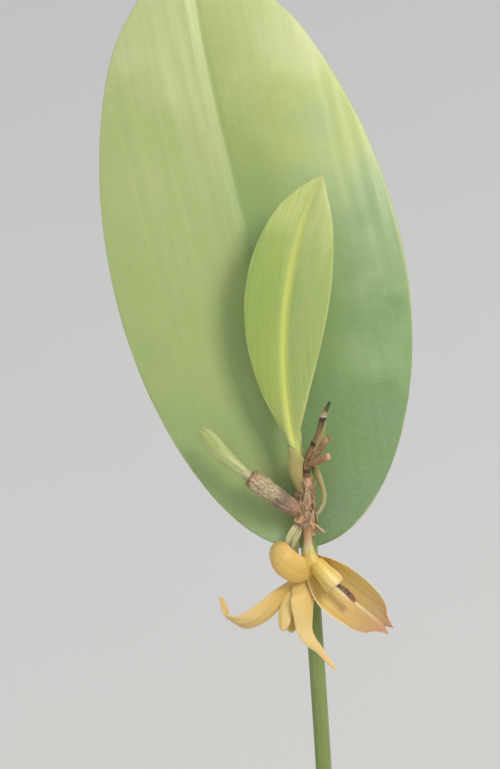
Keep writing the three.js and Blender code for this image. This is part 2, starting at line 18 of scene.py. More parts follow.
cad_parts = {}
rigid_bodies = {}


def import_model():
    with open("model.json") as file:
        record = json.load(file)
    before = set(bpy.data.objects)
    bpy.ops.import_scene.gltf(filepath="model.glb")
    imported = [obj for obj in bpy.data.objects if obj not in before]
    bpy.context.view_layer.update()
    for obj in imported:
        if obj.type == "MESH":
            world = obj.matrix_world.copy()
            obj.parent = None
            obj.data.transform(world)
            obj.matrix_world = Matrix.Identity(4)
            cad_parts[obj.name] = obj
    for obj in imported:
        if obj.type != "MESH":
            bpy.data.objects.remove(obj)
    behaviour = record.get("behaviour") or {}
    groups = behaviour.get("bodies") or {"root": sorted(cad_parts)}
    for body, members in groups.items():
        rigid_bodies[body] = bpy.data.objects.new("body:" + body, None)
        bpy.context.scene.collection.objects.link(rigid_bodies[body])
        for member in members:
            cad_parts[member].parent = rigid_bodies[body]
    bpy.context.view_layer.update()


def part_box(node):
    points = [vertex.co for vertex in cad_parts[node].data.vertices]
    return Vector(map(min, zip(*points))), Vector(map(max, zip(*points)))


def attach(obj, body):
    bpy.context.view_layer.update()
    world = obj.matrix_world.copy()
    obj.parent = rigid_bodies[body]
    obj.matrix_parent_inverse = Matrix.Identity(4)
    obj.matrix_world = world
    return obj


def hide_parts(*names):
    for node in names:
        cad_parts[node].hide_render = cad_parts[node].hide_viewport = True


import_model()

bl_info = {
    "name": "Potted Acianthera",
    "version": (1, 0, 0),
    "blender": (4, 5, 0),
    "location": "View3D > Sidebar > Orchid",
    "description": "Builds a small potted orchid with its flowers, plantlet, bark and clay pot",
    "category": "Add Mesh",
}

MM = 0.001
POT_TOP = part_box("pot")[1]  # the corner of the pot's box at its rim
SOIL_TOP = 61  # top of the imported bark, below its loose chips
RHIZOME_HEIGHT = SOIL_TOP + 3.4
LEAF_FOOT = (0, 14, 160)
LEAF_LEAN = 30  # degrees from upright
LEAF_FRAME = Matrix.Translation(LEAF_FOOT) @ Matrix.Rotation(math.radians(90 - LEAF_LEAN), 4, "X")
ROW_FRAME = Matrix.Identity(4)
UPRIGHT = (0, 0, 1)
ASLANT = (0.3, 0.5, 0.8)  # a sideways direction that no curve runs in, where any will do
SPAN_STEPS = 16  # points between two knots of a curve
BEZIER_POINTS = 64
STRETCH_STEPS = 48
WELD = 1e-4
GOLDEN_TURN = 2.39996  # the angle between neighbours that spreads them evenly


def linear(hex_colour):
    """The linear colour that a shader takes, from an sRGB hex value."""
    shares = [int(hex_colour[i : i + 2], 16) / 255 for i in (1, 3, 5)]
    return [s / 12.92 if s <= 0.04045 else ((s + 0.055) / 1.055) ** 2.4 for s in shares] + [1.0]


def smoothstep(low, high, value):
    share = min(max((value - low) / (high - low), 0.0), 1.0)
    return share * share * (3 - 2 * share)


def lerp(low, high, share):
    return low + (high - low) * share


class Path:
    """A curve given by close points in millimetres and measured along its length."""

    def __init__(self, points):
        self.points = points
        self.reached = [0.0]
        for start, end in zip(points, points[1:]):
            self.reached.append(self.reached[-1] + (end - start).length)
        self.length = self.reached[-1]

    def axes(self, share, across):
        """The point at a share of the length, then the directions sideways, upwards and onwards there.
        Below 0 and above 1 the curve runs on straight."""
        inside = min(max(share, 0.0), 1.0)
        goal = inside * self.length
        i = min(max(bisect.bisect_left(self.reached, goal), 1), len(self.points) - 1)
        before, after = self.points[i - 1], self.points[i]
        part = (goal - self.reached[i - 1]) / (self.reached[i] - self.reached[i - 1])
        onwards = self.points[min(i + 1, len(self.points) - 1)] - self.points[max(i - 2, 0)]
        onwards.normalize()
        point = before.lerp(after, part) + onwards * (share - inside) * self.length
        sideways = Vector(across) - onwards * onwards.dot(Vector(across))
        sideways.normalize()
        return point, sideways, sideways.cross(onwards), onwards

    def at(self, share):
        return self.axes(share, ASLANT)[0]


def through(*knots):
    """A centripetal Catmull-Rom curve through the knots."""
    knots = [Vector(knot) for knot in knots]
    knots = [2 * knots[0] - knots[1], *knots, 2 * knots[-1] - knots[-2]]
    points = []
    for a, b, c, d in zip(knots, knots[1:], knots[2:], knots[3:]):
        times = [0.0]
        for start, end in ((a, b), (b, c), (c, d)):
            times.append(times[-1] + math.sqrt((end - start).length))
        t0, t1, t2, t3 = times
        for step in range(SPAN_STEPS + 1):
            t = lerp(t1, t2, step / SPAN_STEPS)
            ab = a.lerp(b, (t - t0) / (t1 - t0))
            bc = b.lerp(c, (t - t1) / (t2 - t1))
            cd = c.lerp(d, (t - t2) / (t3 - t2))
            abc = ab.lerp(bc, (t - t0) / (t2 - t0))
            bcd = bc.lerp(cd, (t - t1) / (t3 - t1))
            if step or not points:
                points.append(abc.lerp(bcd, (t - t1) / (t2 - t1)))
    return Path(points)


def bezier(*handles):
    """A Bezier curve with four handles, or with three."""
    handles = [Vector(handle) for handle in handles]
    if len(handles) == 3:
        start, bend, end = handles
        handles = [start, start.lerp(bend, 2 / 3), end.lerp(bend, 2 / 3), end]
    return Path(interpolate_bezier(*handles, BEZIER_POINTS))


def stretch(path, start, end):
    """The part of a path between two shares of its length."""
    return Path([path.at(lerp(start, end, step / STRETCH_STEPS)) for step in range(STRETCH_STEPS + 1)])


def widths(*values):
    """Half widths, or radii, at equal shares of a piece's length, with a smooth curve through them."""

    def width(t):
        reached = t * (len(values) - 1)
        i = min(int(reached), len(values) - 2)
        f = reached - i
        before, low, high = values[max(i - 1, 0)], values[i], values[i + 1]
        after = values[min(i + 2, len(values) - 1)]
        leave, arrive = (high - before) / 2, (after - low) / 2
        cubic = (2 * low - 2 * high + leave + arrive) * f**3
        square = (3 * high - 3 * low - 2 * leave - arrive) * f**2
        return max(cubic + square + leave * f + low, 0.05)

    return width


def round_tipped(half_width, share=0.12, blunt=0.0):
    """The same half widths with a round tip, which takes up the last share of the length. blunt is the share
    of the width that is left at its very end."""

    def width(t):
        in_tip = max(0.0, (t - 1 + share) / share) * math.sqrt(1 - blunt**2)
        return max(half_width(t) * math.sqrt(max(1 - in_tip**2, 0.0)), 0.06)

    return width


def elliptic(half_width, widest, fullness, sharpness, stalk=0.0):
    """Half widths of an elliptic leaf, which is never narrower than its stalk."""
    skew = math.log(0.5) / math.log(widest)

    def width(t):
        power = fullness + sharpness * smoothstep(0.82, 1, t)
        blade_width = half_width * max(math.sin(math.pi * t**skew), 0.0) ** power
        return max(blade_width, stalk * (1 - smoothstep(0.06, 0.3, t)), 0.1)

    return width


def folded(fold, half_width):
    """Both halves of a leaf arch up from the sunken midrib."""
    return lambda a, t: fold * half_width(t) * abs(a) * (1.5 - abs(a))


def troughed(depth):
    """A trough, with its margins raised by depth."""
    return lambda a, t: depth * a * a * math.sin(math.pi * lerp(0.2, 0.9, t))


def rough(size, *place):
    """Smooth noise from -1 to 1 whose lumps are size millimetres across."""
    return noise.noise(Vector(place) / size)


def rough_round(size, radius, turn, along):
    """The same noise round a stem of that radius."""
    return rough(size, radius * math.cos(turn), radius * math.sin(turn), along)


def hump(value, middle, reach):
    """A smooth hump, 1 high, with its top at middle."""
    return math.exp(-(((value - middle) / reach) ** 2))


def new_bmesh():
    """An empty mesh whose points say where they lie on their organ. place holds the share across, from -1 to
    1, the share along, and which face, 1 above and -1 below. reach holds millimetres from the midrib, from
    the margin and from the foot."""
    bm = bmesh.new()
    bm.verts.layers.float_vector.new("place")
    bm.verts.layers.float_vector.new("reach")
    return bm


def layers(bm):
    """The mesh's layers place and reach."""
    return bm.verts.layers.float_vector["place"], bm.verts.layers.float_vector["reach"]


def form_grid(bm, columns, rows, form):
    """Bends a flat grid to form(u, v) and welds its sides. v runs from 0 to 1, and u too, where it is 0
    again, so that the seam's points are the same on both sides."""
    place, reach = layers(bm)
    made = bmesh.ops.create_grid(bm, x_segments=columns, y_segments=rows, size=0.5)["verts"]
    for vert in made:
        u = round((vert.co.x + 0.5) * columns) % columns / columns
        v = round((vert.co.y + 0.5) * rows) / rows
        vert.co, vert[place], vert[reach] = form(u, v)
    bmesh.ops.remove_doubles(bm, verts=made, dist=WELD)
    return [vert for vert in made if vert.is_valid]


def open_edges(verts):
    """The edges at which a skin is still open."""
    return list({edge for vert in verts for edge in vert.link_edges if edge.is_boundary})


def close_skin(bm, verts):
    """Closes a skin's open ends and turns its faces outwards."""
    edges = open_edges(verts)
    ends = bmesh.ops.holes_fill(bm, edges=edges, sides=0)["faces"] if edges else []
    turn_outwards(bm, verts)
    return ends


def turn_outwards(bm, verts):
    """Turns the faces of one closed skin outwards, away from the inside that the signed volume tells."""
    faces = list({face for vert in verts for face in vert.link_faces})
    bmesh.ops.recalc_face_normals(bm, faces=faces)
    if sum(face.calc_area() * face.normal.dot(face.calc_center_median()) for face in faces) < 0:
        bmesh.ops.reverse_faces(bm, faces=faces)


def spoke(turn, sideways, upwards):
    """The direction that points away from a stem, turn radians round it."""
    return sideways * math.cos(turn) + upwards * math.sin(turn)


def blade(bm, path, across, half_width, thickness, rise=None, relief=None, teeth=0.0, columns=48, rows=48):
    """A leaf, sepal, petal or bract with a rounded margin all round. rise(a, t) and relief(a, t, face) lift
    its surface, and teeth is the depth of the notch that splits its tip in two."""
    depth = thickness if callable(thickness) else lambda t: thickness
    shares = [0.5 - 0.5 * math.cos(math.pi * row / rows) for row in range(rows + 1)]
    stations = [(t, path.axes(t, across), half_width(t), depth(t)) for t in shares]

    def form(u, v):
        t, (point, sideways, upwards, onwards), width, thick = stations[round(v * rows)]
        tip = max(0.0, 1 - 2 * (1 - t) * path.length / thick)
        thick *= math.sqrt(1 - tip**2)
        turn = 2 * math.pi * u
        a, face = math.cos(turn), math.sin(turn)
        lift = 0.5 * thick * math.copysign(math.sqrt(abs(face)), face)
        lift += rise(a, t) if rise else 0.0
        lift += relief(a, t, face) if relief else 0.0
        notch = smoothstep(1 - 2.2 * teeth / path.length, 1, t) if teeth else 0.0
        back = teeth * abs(2 * abs(a) - 1) * notch
        co = point + sideways * (a * width) + upwards * lift - onwards * back
        return co, (a, t, face), (a * width, (1 - abs(a)) * width, t * path.length)

    close_skin(bm, form_grid(bm, columns, rows, form))


def stalk(bm, path, radius, across=UPRIGHT, relief=None, hollow=0.0, columns=24, rows=48):
    """A round stem, stalk or root. relief(turn, t) adds to its radius. hollow sinks its far end."""
    reach_of = radius if callable(radius) else lambda t: radius
    stations = [(row / rows, path.axes(row / rows, across), reach_of(row / rows)) for row in range(rows + 1)]

    def form(u, v):
        t, (point, sideways, upwards, _), width = stations[round(v * rows)]
        turn = 2 * math.pi * u
        width += relief(turn, t) if relief else 0.0
        co = point + sideways * (width * math.cos(turn)) + upwards * (width * math.sin(turn))
        return co, (math.cos(turn), t, math.sin(turn)), (width * turn, width, t * path.length)

    ends = close_skin(bm, form_grid(bm, columns, rows, form))
    if hollow:
        tip, _, _, onwards = path.axes(1, across)
        far = min(ends, key=lambda face: (face.calc_center_median() - tip).length)
        bmesh.ops.inset_region(bm, faces=[far], thickness=0.25 * reach_of(1))
        bmesh.ops.translate(bm, verts=far.verts[:], vec=onwards * -hollow)


def sheath(bm, path, start, end, radius, wall, slant, flare=0.0, relief=0.05, ragged=0.25, across=UPRIGHT):
    """A papery sleeve round the part of a stem from start to end, with an oblique torn mouth. Its outside
    runs up to the mouth, and its inside back down. relief is the height of its ridges and ragged that of
    its torn edge."""
    part = stretch(path, start, end)
    reach_of = radius if callable(radius) else lambda t: radius
    rows, columns = max(24, 2 * round(4 * part.length)), 64
    shares = [1 - abs(2 * row / rows - 1) for row in range(rows + 1)]
    stations = [(t, part.axes(t, across)) for t in shares]

    def form(u, v):
        row = round(v * rows)
        t, (point, sideways, upwards, onwards) = stations[row]
        outside = row <= rows / 2
        turn = 2 * math.pi * u
        tear = ragged * rough_round(1.6, 3, turn, 7) + 0.4 * ragged * rough_round(0.5, 3, turn, 3)
        ridges = rough_round(0.6, 3, turn, 0.3 * t * part.length) + rough_round(0.8, 3, turn, 9 * t)
        width = reach_of(t) + flare * t * t + relief * ridges - (0.0 if outside else wall)
        co = point + sideways * (width * math.cos(turn)) + upwards * (width * math.sin(turn))
        co += onwards * ((slant * math.cos(turn) + tear) * t**6)
        face = 1 if outside else -1
        return co, (math.cos(turn), t, face), (width * turn, (1 - t) * part.length, t * part.length)

    made = form_grid(bm, columns, rows, form)
    bmesh.ops.bridge_loops(bm, edges=open_edges(made))
    turn_outwards(bm, made)


def outline_edges(bm, outline):
    """The points of an outline from pairs of a radius and a height, joined in turn."""
    corners = [bm.verts.new((r, 0, z)) for r, z in outline]
    for start, end in zip(corners, corners[1:]):
        bm.edges.new((start, end))
    return corners


def lathe(bm, steps):
    """Spins the outline round the upright axis to a closed skin."""
    bmesh.ops.spin(bm, geom=bm.verts[:] + bm.edges[:], cent=(0, 0, 0), axis=(0, 0, 1), steps=steps,
                   angle=2 * math.pi, use_merge=True)
    bmesh.ops.remove_doubles(bm, verts=bm.verts, dist=WELD)
    turn_outwards(bm, bm.verts)


def add_piece(name, bm, material, slot, place=ROW_FRAME, replaced=None):
    """Makes a mesh in millimetres a piece of the object, in metres. It stands for the CAD nodes in replaced,
    or for the one of its own name."""
    replaced = [name] if replaced is None else replaced
    for face in bm.faces:
        face.smooth = True
    bm.transform(Matrix.Scale(MM, 4) @ place)
    mesh = bpy.data.meshes.new(f"dressed_{name}")
    bm.to_mesh(mesh)
    bm.free()
    mesh.materials.append(shared(material))
    piece = bpy.data.objects.new(mesh.name, mesh)
    bpy.context.scene.collection.objects.link(piece)
    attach(piece, "root")
    if replaced:
        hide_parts(*replaced)
    return piece


def form_piece(name, form, material, slot, place, *shape, **settings):
    """A piece of one skin, which blade, stalk or sheath forms."""
    bm = new_bmesh()
    form(bm, *shape, **settings)
    return add_piece(name, bm, material, slot, place)


# Materials

SMOOTH = {"interpolation_type": "SMOOTHSTEP"}  # a range that starts and ends gently


def add_node(tree, kind, links=(), output=0, stops=(), **settings):
    """Adds a shader node and returns one of its outputs. links holds a socket or a value for each input, by
    name or in order, and stops a position and an sRGB hex value for each colour of a ramp."""
    made = tree.nodes.new(f"ShaderNode{kind}")
    for name, value in settings.items():
        setattr(made, name, value)
    for name, value in (links.items() if isinstance(links, dict) else enumerate(links)):
        if isinstance(value, bpy.types.NodeSocket):
            tree.links.new(value, made.inputs[name])
        else:
            made.inputs[name].default_value = value
    if stops:
        elements = made.color_ramp.elements
        for element, (position, colour) in zip(elements, (stops[0], stops[-1])):
            element.position, element.color = position, linear(colour)
        for position, colour in stops[1:-1]:
            elements.new(position).color = linear(colour)
    return made.outputs[output] if made.outputs else None


def per(size):
    """A noise scale whose lumps are size millimetres across on Object coordinates in metres."""
    return 1000 / size


def shared(make):
    """The material that make builds, which is made once."""
    return bpy.data.materials.get(make.__name__) or make(make.__name__)


class Skin:
    """A material under construction, with the coordinates that its patterns read. look holds the constants
    of its shader."""

    def __init__(self, name, look):
        self.look = look
        self.material = bpy.data.materials.new(name)
        self.material.use_nodes = True
        self.tree = self.material.node_tree
        self.tree.nodes.clear()
        self.objects = self.add("TexCoord", output="Object")
        self.reach = self.add("Attribute", output="Vector", attribute_name="reach")
        place = self.add("Attribute", output="Vector", attribute_name="place")
        self.across, self.along, self.face = self.add("SeparateXYZ", [place]).node.outputs
        split = self.add("SeparateXYZ", [self.reach])
        self.from_midrib, self.from_margin, self.from_foot = split.node.outputs

    def add(self, *kind_and_links, **settings):
        return add_node(self.tree, *kind_and_links, **settings)

    def body(self, drift, edge, by, stops):
        """A ramp's colours from foot to tip, which the drift pushes along by a share of the length."""
        pushed = self.add("MapRange", [drift, edge, 1 - edge, -by, by], **SMOOTH)
        along = self.add("Math", [self.along, pushed], operation="ADD")
        return self.add("ValToRGB", [along], stops=stops)

    def tint(self, colour, tone, value, start, end, strength=1.0):
        """The colour, with tone laid over it: not at all where value is at start, and by strength at end."""
        share = self.add("MapRange", [value, start, end, 0.0, strength], **SMOOTH)
        return self.add("Mix", {"Factor": share, "A": colour, "B": tone}, "Result", data_type="RGBA")

    def round_stem(self, pitch):
        """Coordinates round a stem, which run along it by pitch for each millimetre."""
        lengths = self.add("Math", [self.from_foot, pitch], operation="MULTIPLY")
        return self.add("CombineXYZ", [self.across, self.face, lengths])

    def finish(self, colour, roughness, relief, depth):
        """Joins colour, roughness and relief to the shader. depth is the relief's height in millimetres."""
        normal = self.add("Bump", {"Strength": 1.0, "Distance": depth * MM, "Height": relief})
        joined = {**self.look, "Base Color": colour, "Roughness": roughness, "Normal": normal}
        self.add("OutputMaterial", {"Surface": self.add("BsdfPrincipled", joined)})
        return self.material


def blade_skin(name, left, right, shade, midrib, margin, under, outer=(), midrib_width=0.35,
               margin_width=0.3, gloss=0.42, streaked=0.45, specked=0.0, vein_pitch=0.5, scatter=0.1,
               grained=0.12, depth=0.05):
    """A waxy leaf or flower part. The wax gives a broad soft gloss. Colours drift from its foot to its tip
    and in streaks along its veins, the margins are thin and of another tone, which on the synsepal and
    petals is a painted rim sheen, and the underside is duller.
    left and right are the tones of its halves, outer the lighter tones laid over the right half towards its
    margin as a painted sheen, and depth is the relief of its veins in millimetres."""
    skin = Skin(name, {"IOR": 1.45, "Subsurface Weight": scatter, "Subsurface Scale": 0.0008,
                       "Subsurface Radius": (0.7, 1.0, 0.25)})
    drift = skin.add("TexNoise", {"Vector": skin.objects, "Scale": per(9), "Detail": 3.0})
    body = skin.body(drift, 0.25, 0.1, left)
    if right != left:
        other = skin.body(drift, 0.25, 0.1, right)
        # The outer tones lay a lighter painted sheen over the right half's outer part.
        if outer:
            other = skin.tint(other, skin.body(drift, 0.25, 0.1, outer), skin.from_midrib, 1.5, 13.0)
        # The right half's darker tone reaches 1.8 mm past the midrib onto the left half: painted shade along
        # the crease.
        body = skin.tint(body, other, skin.from_midrib, -1.8, -0.1)
    pitch = (1 / vein_pitch, 0.0, 0.05 / vein_pitch)
    veins = skin.add("VectorMath", [skin.reach, pitch], operation="MULTIPLY")
    fibres = skin.add("TexNoise", {"Vector": veins, "Scale": 1.0, "Detail": 4.0, "Roughness": 0.6})
    colour = skin.tint(body, shade, fibres, 0.42, 0.72, streaked)
    # Cells of the skin are about 0.05 mm, and are drawn at 0.3 mm so that they show.
    cells = skin.add("TexNoise", {"Vector": skin.objects, "Scale": per(0.3), "Detail": 2.0})
    colour = skin.tint(colour, linear(left[-1][1]), cells, 0.4, 0.8, 2 * grained)
    from_midrib = skin.add("Math", [skin.from_midrib], operation="ABSOLUTE")
    fading = skin.add("MapRange", [skin.along, 1.0, 0.55, 0.15, 0.8], **SMOOTH)
    colour = skin.tint(colour, linear(midrib), from_midrib, 2 * midrib_width, 0.3 * midrib_width, fading)
    if specked:
        spots = skin.add("TexVoronoi", {"Vector": skin.objects, "Scale": per(2.6)}, "Distance")
        few = skin.add("TexNoise", {"Vector": skin.objects, "Scale": per(8), "Detail": 1.0})
        rare = skin.add("MapRange", [few, 0.6, 0.63, 0.0, specked], **SMOOTH)
        colour = skin.tint(colour, linear("#5c5a38"), spots, 0.09, 0.05, rare)
    colour = skin.tint(colour, linear(under), skin.face, -0.05, -0.3, 0.85)
    # The margin tone: the leaves' own rim colour, and on the synsepal and petals a paler painted rim sheen.
    uneven = skin.add("MapRange", [drift, 0.3, 0.7, -0.15, 0.15 + 0.3 * margin_width], **SMOOTH)
    ragged = skin.add("Math", [skin.from_margin, uneven], operation="ADD")
    colour = skin.tint(colour, linear(margin), ragged, margin_width, 0.3 * margin_width, 0.85)
    relief = skin.add("Math", [cells, 0.5], operation="MULTIPLY")
    relief = skin.add("Math", [fibres, 1.6, relief], operation="MULTIPLY_ADD")
    polish = skin.add("MapRange", [drift, 0.3, 0.7, gloss - 0.05, gloss + 0.08], **SMOOTH)
    return skin.finish(colour, polish, relief, depth)


def stalk_skin(name, tones, shade, gloss=0.5, furrow=0.35, depth=0.05, blotched=0.4, scatter=0.08):
    """A stem, stalk or root skin, with its tones from foot to tip and fine furrows along it, whose width is
    the share furrow of its radius."""
    skin = Skin(name, {"IOR": 1.45, "Subsurface Weight": scatter, "Subsurface Scale": 0.0006,
                       "Subsurface Radius": (0.8, 0.9, 0.3)})
    drift = skin.add("TexNoise", {"Vector": skin.objects, "Scale": per(3), "Detail": 3.0})
    body = skin.body(drift, 0.3, 0.04, tones)
    furrows = skin.add("TexNoise", {"Vector": skin.round_stem(0.12), "Scale": 1 / furrow, "Detail": 4.0,
                                    "Roughness": 0.6})
    colour = skin.tint(body, shade, furrows, 0.4, 0.75, blotched)
    blots = skin.add("TexNoise", {"Vector": skin.objects, "Scale": per(0.8), "Detail": 3.0})
    colour = skin.tint(colour, linear(tones[-1][1]), blots, 0.5, 0.8, 0.5 * blotched)
    relief = skin.add("Math", [blots, 0.4, furrows], operation="MULTIPLY_ADD")
    polish = skin.add("MapRange", [drift, 0.3, 0.7, gloss - 0.05, gloss + 0.1], **SMOOTH)
    return skin.finish(colour, polish, relief, depth)


def paper_skin(name, tones, blot, vein, blotch=0.5, blot_size=1.0, cover=0.56, fray="#c9b68e", gloss=0.8):
    """A dry bract or sheath: papery, matt, with dark veins, blotches and a bleached torn edge. Light comes
    through it a little."""
    skin = Skin(name, {"IOR": 1.4, "Subsurface Weight": 0.1, "Subsurface Scale": 0.0004,
                       "Subsurface Radius": (1.0, 0.8, 0.5)})
    drift = skin.add("TexNoise", {"Vector": skin.objects, "Scale": per(1.6), "Detail": 4.0})
    body = skin.body(drift, 0.3, 0.07, tones)
    blots = skin.add("TexNoise", {"Vector": skin.objects, "Scale": per(blot_size), "Detail": 4.0,
                                  "Roughness": 0.65})
    colour = skin.tint(body, linear(blot), blots, cover - 0.06, cover + 0.06, blotch)
    # Veins stand a seventh of the stem's radius apart.
    veins = skin.add("TexNoise", {"Vector": skin.round_stem(0.06), "Scale": 7.0, "Detail": 3.0,
                                  "Roughness": 0.6})
    colour = skin.tint(colour, linear(vein), veins, 0.52, 0.68, 0.6)
    colour = skin.tint(colour, linear(fray), skin.from_margin, 0.3, 0.08, 0.6)
    relief = skin.add("Math", [veins, 1.4, blots], operation="MULTIPLY_ADD")
    polish = skin.add("MapRange", [drift, 0.3, 0.7, gloss - 0.08, gloss + 0.08], **SMOOTH)
    return skin.finish(colour, polish, relief, 0.12)


def flower_skin(name, tones, shade, midrib, margin, under, **settings):
    """Fleshy waxy flower part. Light scatters in it, so that it glows and has soft shadows."""
    look = {"gloss": 0.4, "streaked": 0.45, "vein_pitch": 0.3, "midrib_width": 0.15, "scatter": 0.3,
            "margin_width": 0.22, **settings}
    return blade_skin(name, tones, tones, shade, midrib, margin, under, **look)


def leathery_leaf(name):
    """Thick waxy orchid leaf: satin, with a sunken midrib, pale thin margins and a duller, paler back."""
    # The halves grow lighter towards the tip: partly the leaf's own tone, partly painted light from above.
    left = ((0.0, "#a6c899"), (0.1, "#98ad71"), (0.4, "#a2b570"), (0.7, "#abba78"), (1.0, "#c3cb94"))
    # The right half is darker than the left, and darkest low down: partly painted shade, where that half
    # faces away from the light.
    right = ((0.0, "#7c9870"), (0.14, "#7d9c68"), (0.4, "#86a566"), (0.66, "#9fb167"), (0.85, "#bac683"),
             (1.0, "#c7cf96"))
    # outer lightens the right half towards its margin: a painted sheen, not the leaf's own colour.
    outer = ((0.0, "#7c9870"), (0.14, "#7d9c70"), (0.26, "#7a9c62"), (0.4, "#99b580"), (0.5, "#abc190"),
             (0.6, "#b8ca90"), (0.7, "#c3cf84"), (0.8, "#cdd799"), (1.0, "#cfd6a0"))
    return blade_skin(name, left, right, shade=bpy.context.scene.orchid_leaves.streak_colour,
                      midrib="#93a965", margin="#b3bd84", under="#a5b583", outer=outer, midrib_width=0.3,
                      margin_width=0.2, gloss=0.36, streaked=0.14, vein_pitch=0.9, grained=0.07, depth=0.025)


def growth_leaf(name):
    """The same leathery leaf, older and of a deeper green."""
    green = ((0.0, "#8d9a55"), (0.12, "#7d9a52"), (0.5, "#86a458"), (1.0, "#9db36a"))
    return blade_skin(name, green, green, shade=bpy.context.scene.orchid_leaves.growth_colour,
                      midrib="#9cae66", margin="#b9ae74", under="#9aac78", midrib_width=0.3, gloss=0.38,
                      streaked=0.35, specked=0.8, vein_pitch=0.8)


def young_leaf_skin(name):
    """Young thin leaf, more translucent and yellower, with a yellow midrib."""
    left = ((0.0, "#a3ad5c"), (0.2, "#a0b355"), (0.6, "#9bb459"), (0.78, "#a6bb63"), (0.93, "#c8d282"),
            (1.0, "#d9c8a0"))
    right = ((0.0, "#a8b268"), (0.2, "#a4b868"), (0.6, "#a7bc6f"), (0.78, "#b1c277"), (0.93, "#c6d088"),
             (1.0, "#d9c8a0"))
    return blade_skin(name, left, right, shade=linear("#86a552"), midrib="#d3da72", margin="#bfc57e",
                      under="#a9ba7c", midrib_width=0.42, margin_width=0.22, gloss=0.4, streaked=0.4,
                      vein_pitch=0.35, scatter=0.15, grained=0.06)


def shoot_skin(name):
    """Leaf still folded in its bud: pale waxy green, bleached where it leaves its sheath."""
    green = ((0.0, "#cfcba6"), (0.45, "#c9ca98"), (0.6, "#b3bd78"), (0.9, "#aab872"), (1.0, "#dcd6b4"))
    return blade_skin(name, green, green, shade=linear("#93a862"), midrib="#94a862", margin="#bcc486",
                      under="#b9c282", midrib_width=0.12, margin_width=0.2, gloss=0.36, streaked=0.4,
                      vein_pitch=0.25, scatter=0.15)


def green_stem(name):
    """Green stem: satin, finely furrowed, yellower at its joints."""
    tones = ((0.0, "#8a8a4c"), (0.2, "#7f8f4e"), (0.9, "#87995a"), (1.0, "#96a462"))
    return stalk_skin(name, tones, shade=bpy.context.scene.orchid_leaves.stem_colour, gloss=0.42)


def plantlet_stem(name):
    """Short young stem, pale yellow green."""
    tones = ((0.0, "#a89b60"), (0.5, "#b3b068"), (1.0, "#a9b45f"))
    return stalk_skin(name, tones, shade=linear("#8f9a4e"), gloss=0.45, blotched=0.5)


def flower_stalk(name):
    """Thin dry-skinned flower stalk, brown below and yellow where it widens into the ovary."""
    tones = ((0.0, "#94704f"), (0.25, "#b08a6a"), (0.45, "#c9ab86"), (0.55, "#d3c491"), (0.66, "#d2c473"),
             (0.76, "#e6c868"), (1.0, "#e8c868"))
    return stalk_skin(name, tones, shade=linear("#a07a50"), furrow=0.3, blotched=0.5)


def side_flower_stalk(name):
    """The same stalk, greener and paler."""
    tones = ((0.0, "#b8b080"), (0.4, "#c9c796"), (0.8, "#dcc980"), (1.0, "#e6c974"))
    return stalk_skin(name, tones, shade=linear("#a89a68"), furrow=0.3, blotched=0.35)


def flower_column(name):
    """Column: pale waxy yellow, and paler towards its mouth, partly a painted highlight."""
    tones = ((0.0, "#e0c060"), (0.6, "#efd680"), (0.93, "#f0dc98"), (1.0, "#d9bb78"))
    return stalk_skin(name, tones, shade=linear("#d9b04c"), gloss=0.3, furrow=0.6, blotched=0.3,
                      scatter=0.25)


def orchid_root(name):
    """Aerial root with its spongy outer skin: matt silvery white over green, with short cracks."""
    tones = ((0.0, "#a8a286"), (0.3, "#c9c3ae"), (1.0, "#b5aa90"))
    return stalk_skin(name, tones, shade=linear("#8f9070"), gloss=0.85, furrow=0.5, depth=0.12, blotched=0.5,
                      scatter=0.02)


def creeping_rhizome(name):
    """Woody creeping stem: brown and rough, ringed by the scars and rags of old scales."""
    tones = ((0.0, "#7d6845"), (0.5, "#8a7350"), (1.0, "#8f9058"))
    return stalk_skin(name, tones, shade=linear("#54402a"), gloss=0.75, furrow=0.4, depth=0.2, blotched=0.7,
                      scatter=0.0)


def old_stalk_skin(name):
    """Dead flower stalk: dry, olive brown, and black at its joints."""
    tones = ((0.0, "#8a6a4c"), (0.08, "#8a6a4c"), (0.1, "#4a3d32"), (0.14, "#4a3d32"), (0.17, "#a98a60"),
             (0.3, "#a5835f"), (0.4, "#8a7050"), (0.44, "#655442"), (0.46, "#3c3630"), (0.5, "#3c3630"),
             (0.53, "#96765a"), (0.63, "#96795a"), (0.75, "#7f6a50"), (0.78, "#3e3831"), (0.82, "#3e3831"),
             (0.84, "#c8b890"), (0.88, "#bcab82"), (0.9, "#66583f"), (1.0, "#40382e"))
    return stalk_skin(name, tones, shade=linear("#6a553a"), gloss=0.7, furrow=0.25, depth=0.1, blotched=0.5,
                      scatter=0.02)


def broken_stub(name):
    """Broken side stub: reddish brown, with a pale torn end."""
    tones = ((0.0, "#7f6248"), (0.3, "#a9825f"), (0.8, "#b08866"), (0.95, "#d6a07e"), (1.0, "#efcaa8"))
    return stalk_skin(name, tones, shade=linear("#86644a"), gloss=0.75, furrow=0.2, depth=0.1, blotched=0.6)


def stem_sheath(name):
    """Dry sheath round a stem: straw and grey brown, with darker veins."""
    tones = ((0.0, "#8d7450"), (0.5, "#b39c72"), (1.0, "#c8b68c"))
    return paper_skin(name, tones, blot="#7d6a4c", vein="#755f42", blotch=0.45, blot_size=1.6)


def mottled_sheath(name):
    """Papery sheath of the shoot: cream, finely mottled with brown and grey."""
    tones = ((0.0, "#b08c70"), (0.24, "#b5957a"), (0.36, "#7a736c"), (0.45, "#a89c86"), (0.6, "#d0c4a0"),
             (0.86, "#d4c8a0"), (0.96, "#c09a76"), (1.0, "#b08a68"))
    return paper_skin(name, tones, blot="#92785e", vein="#9c8872", blotch=0.76, blot_size=0.22, cover=0.5,
                      fray="#b99c7c")


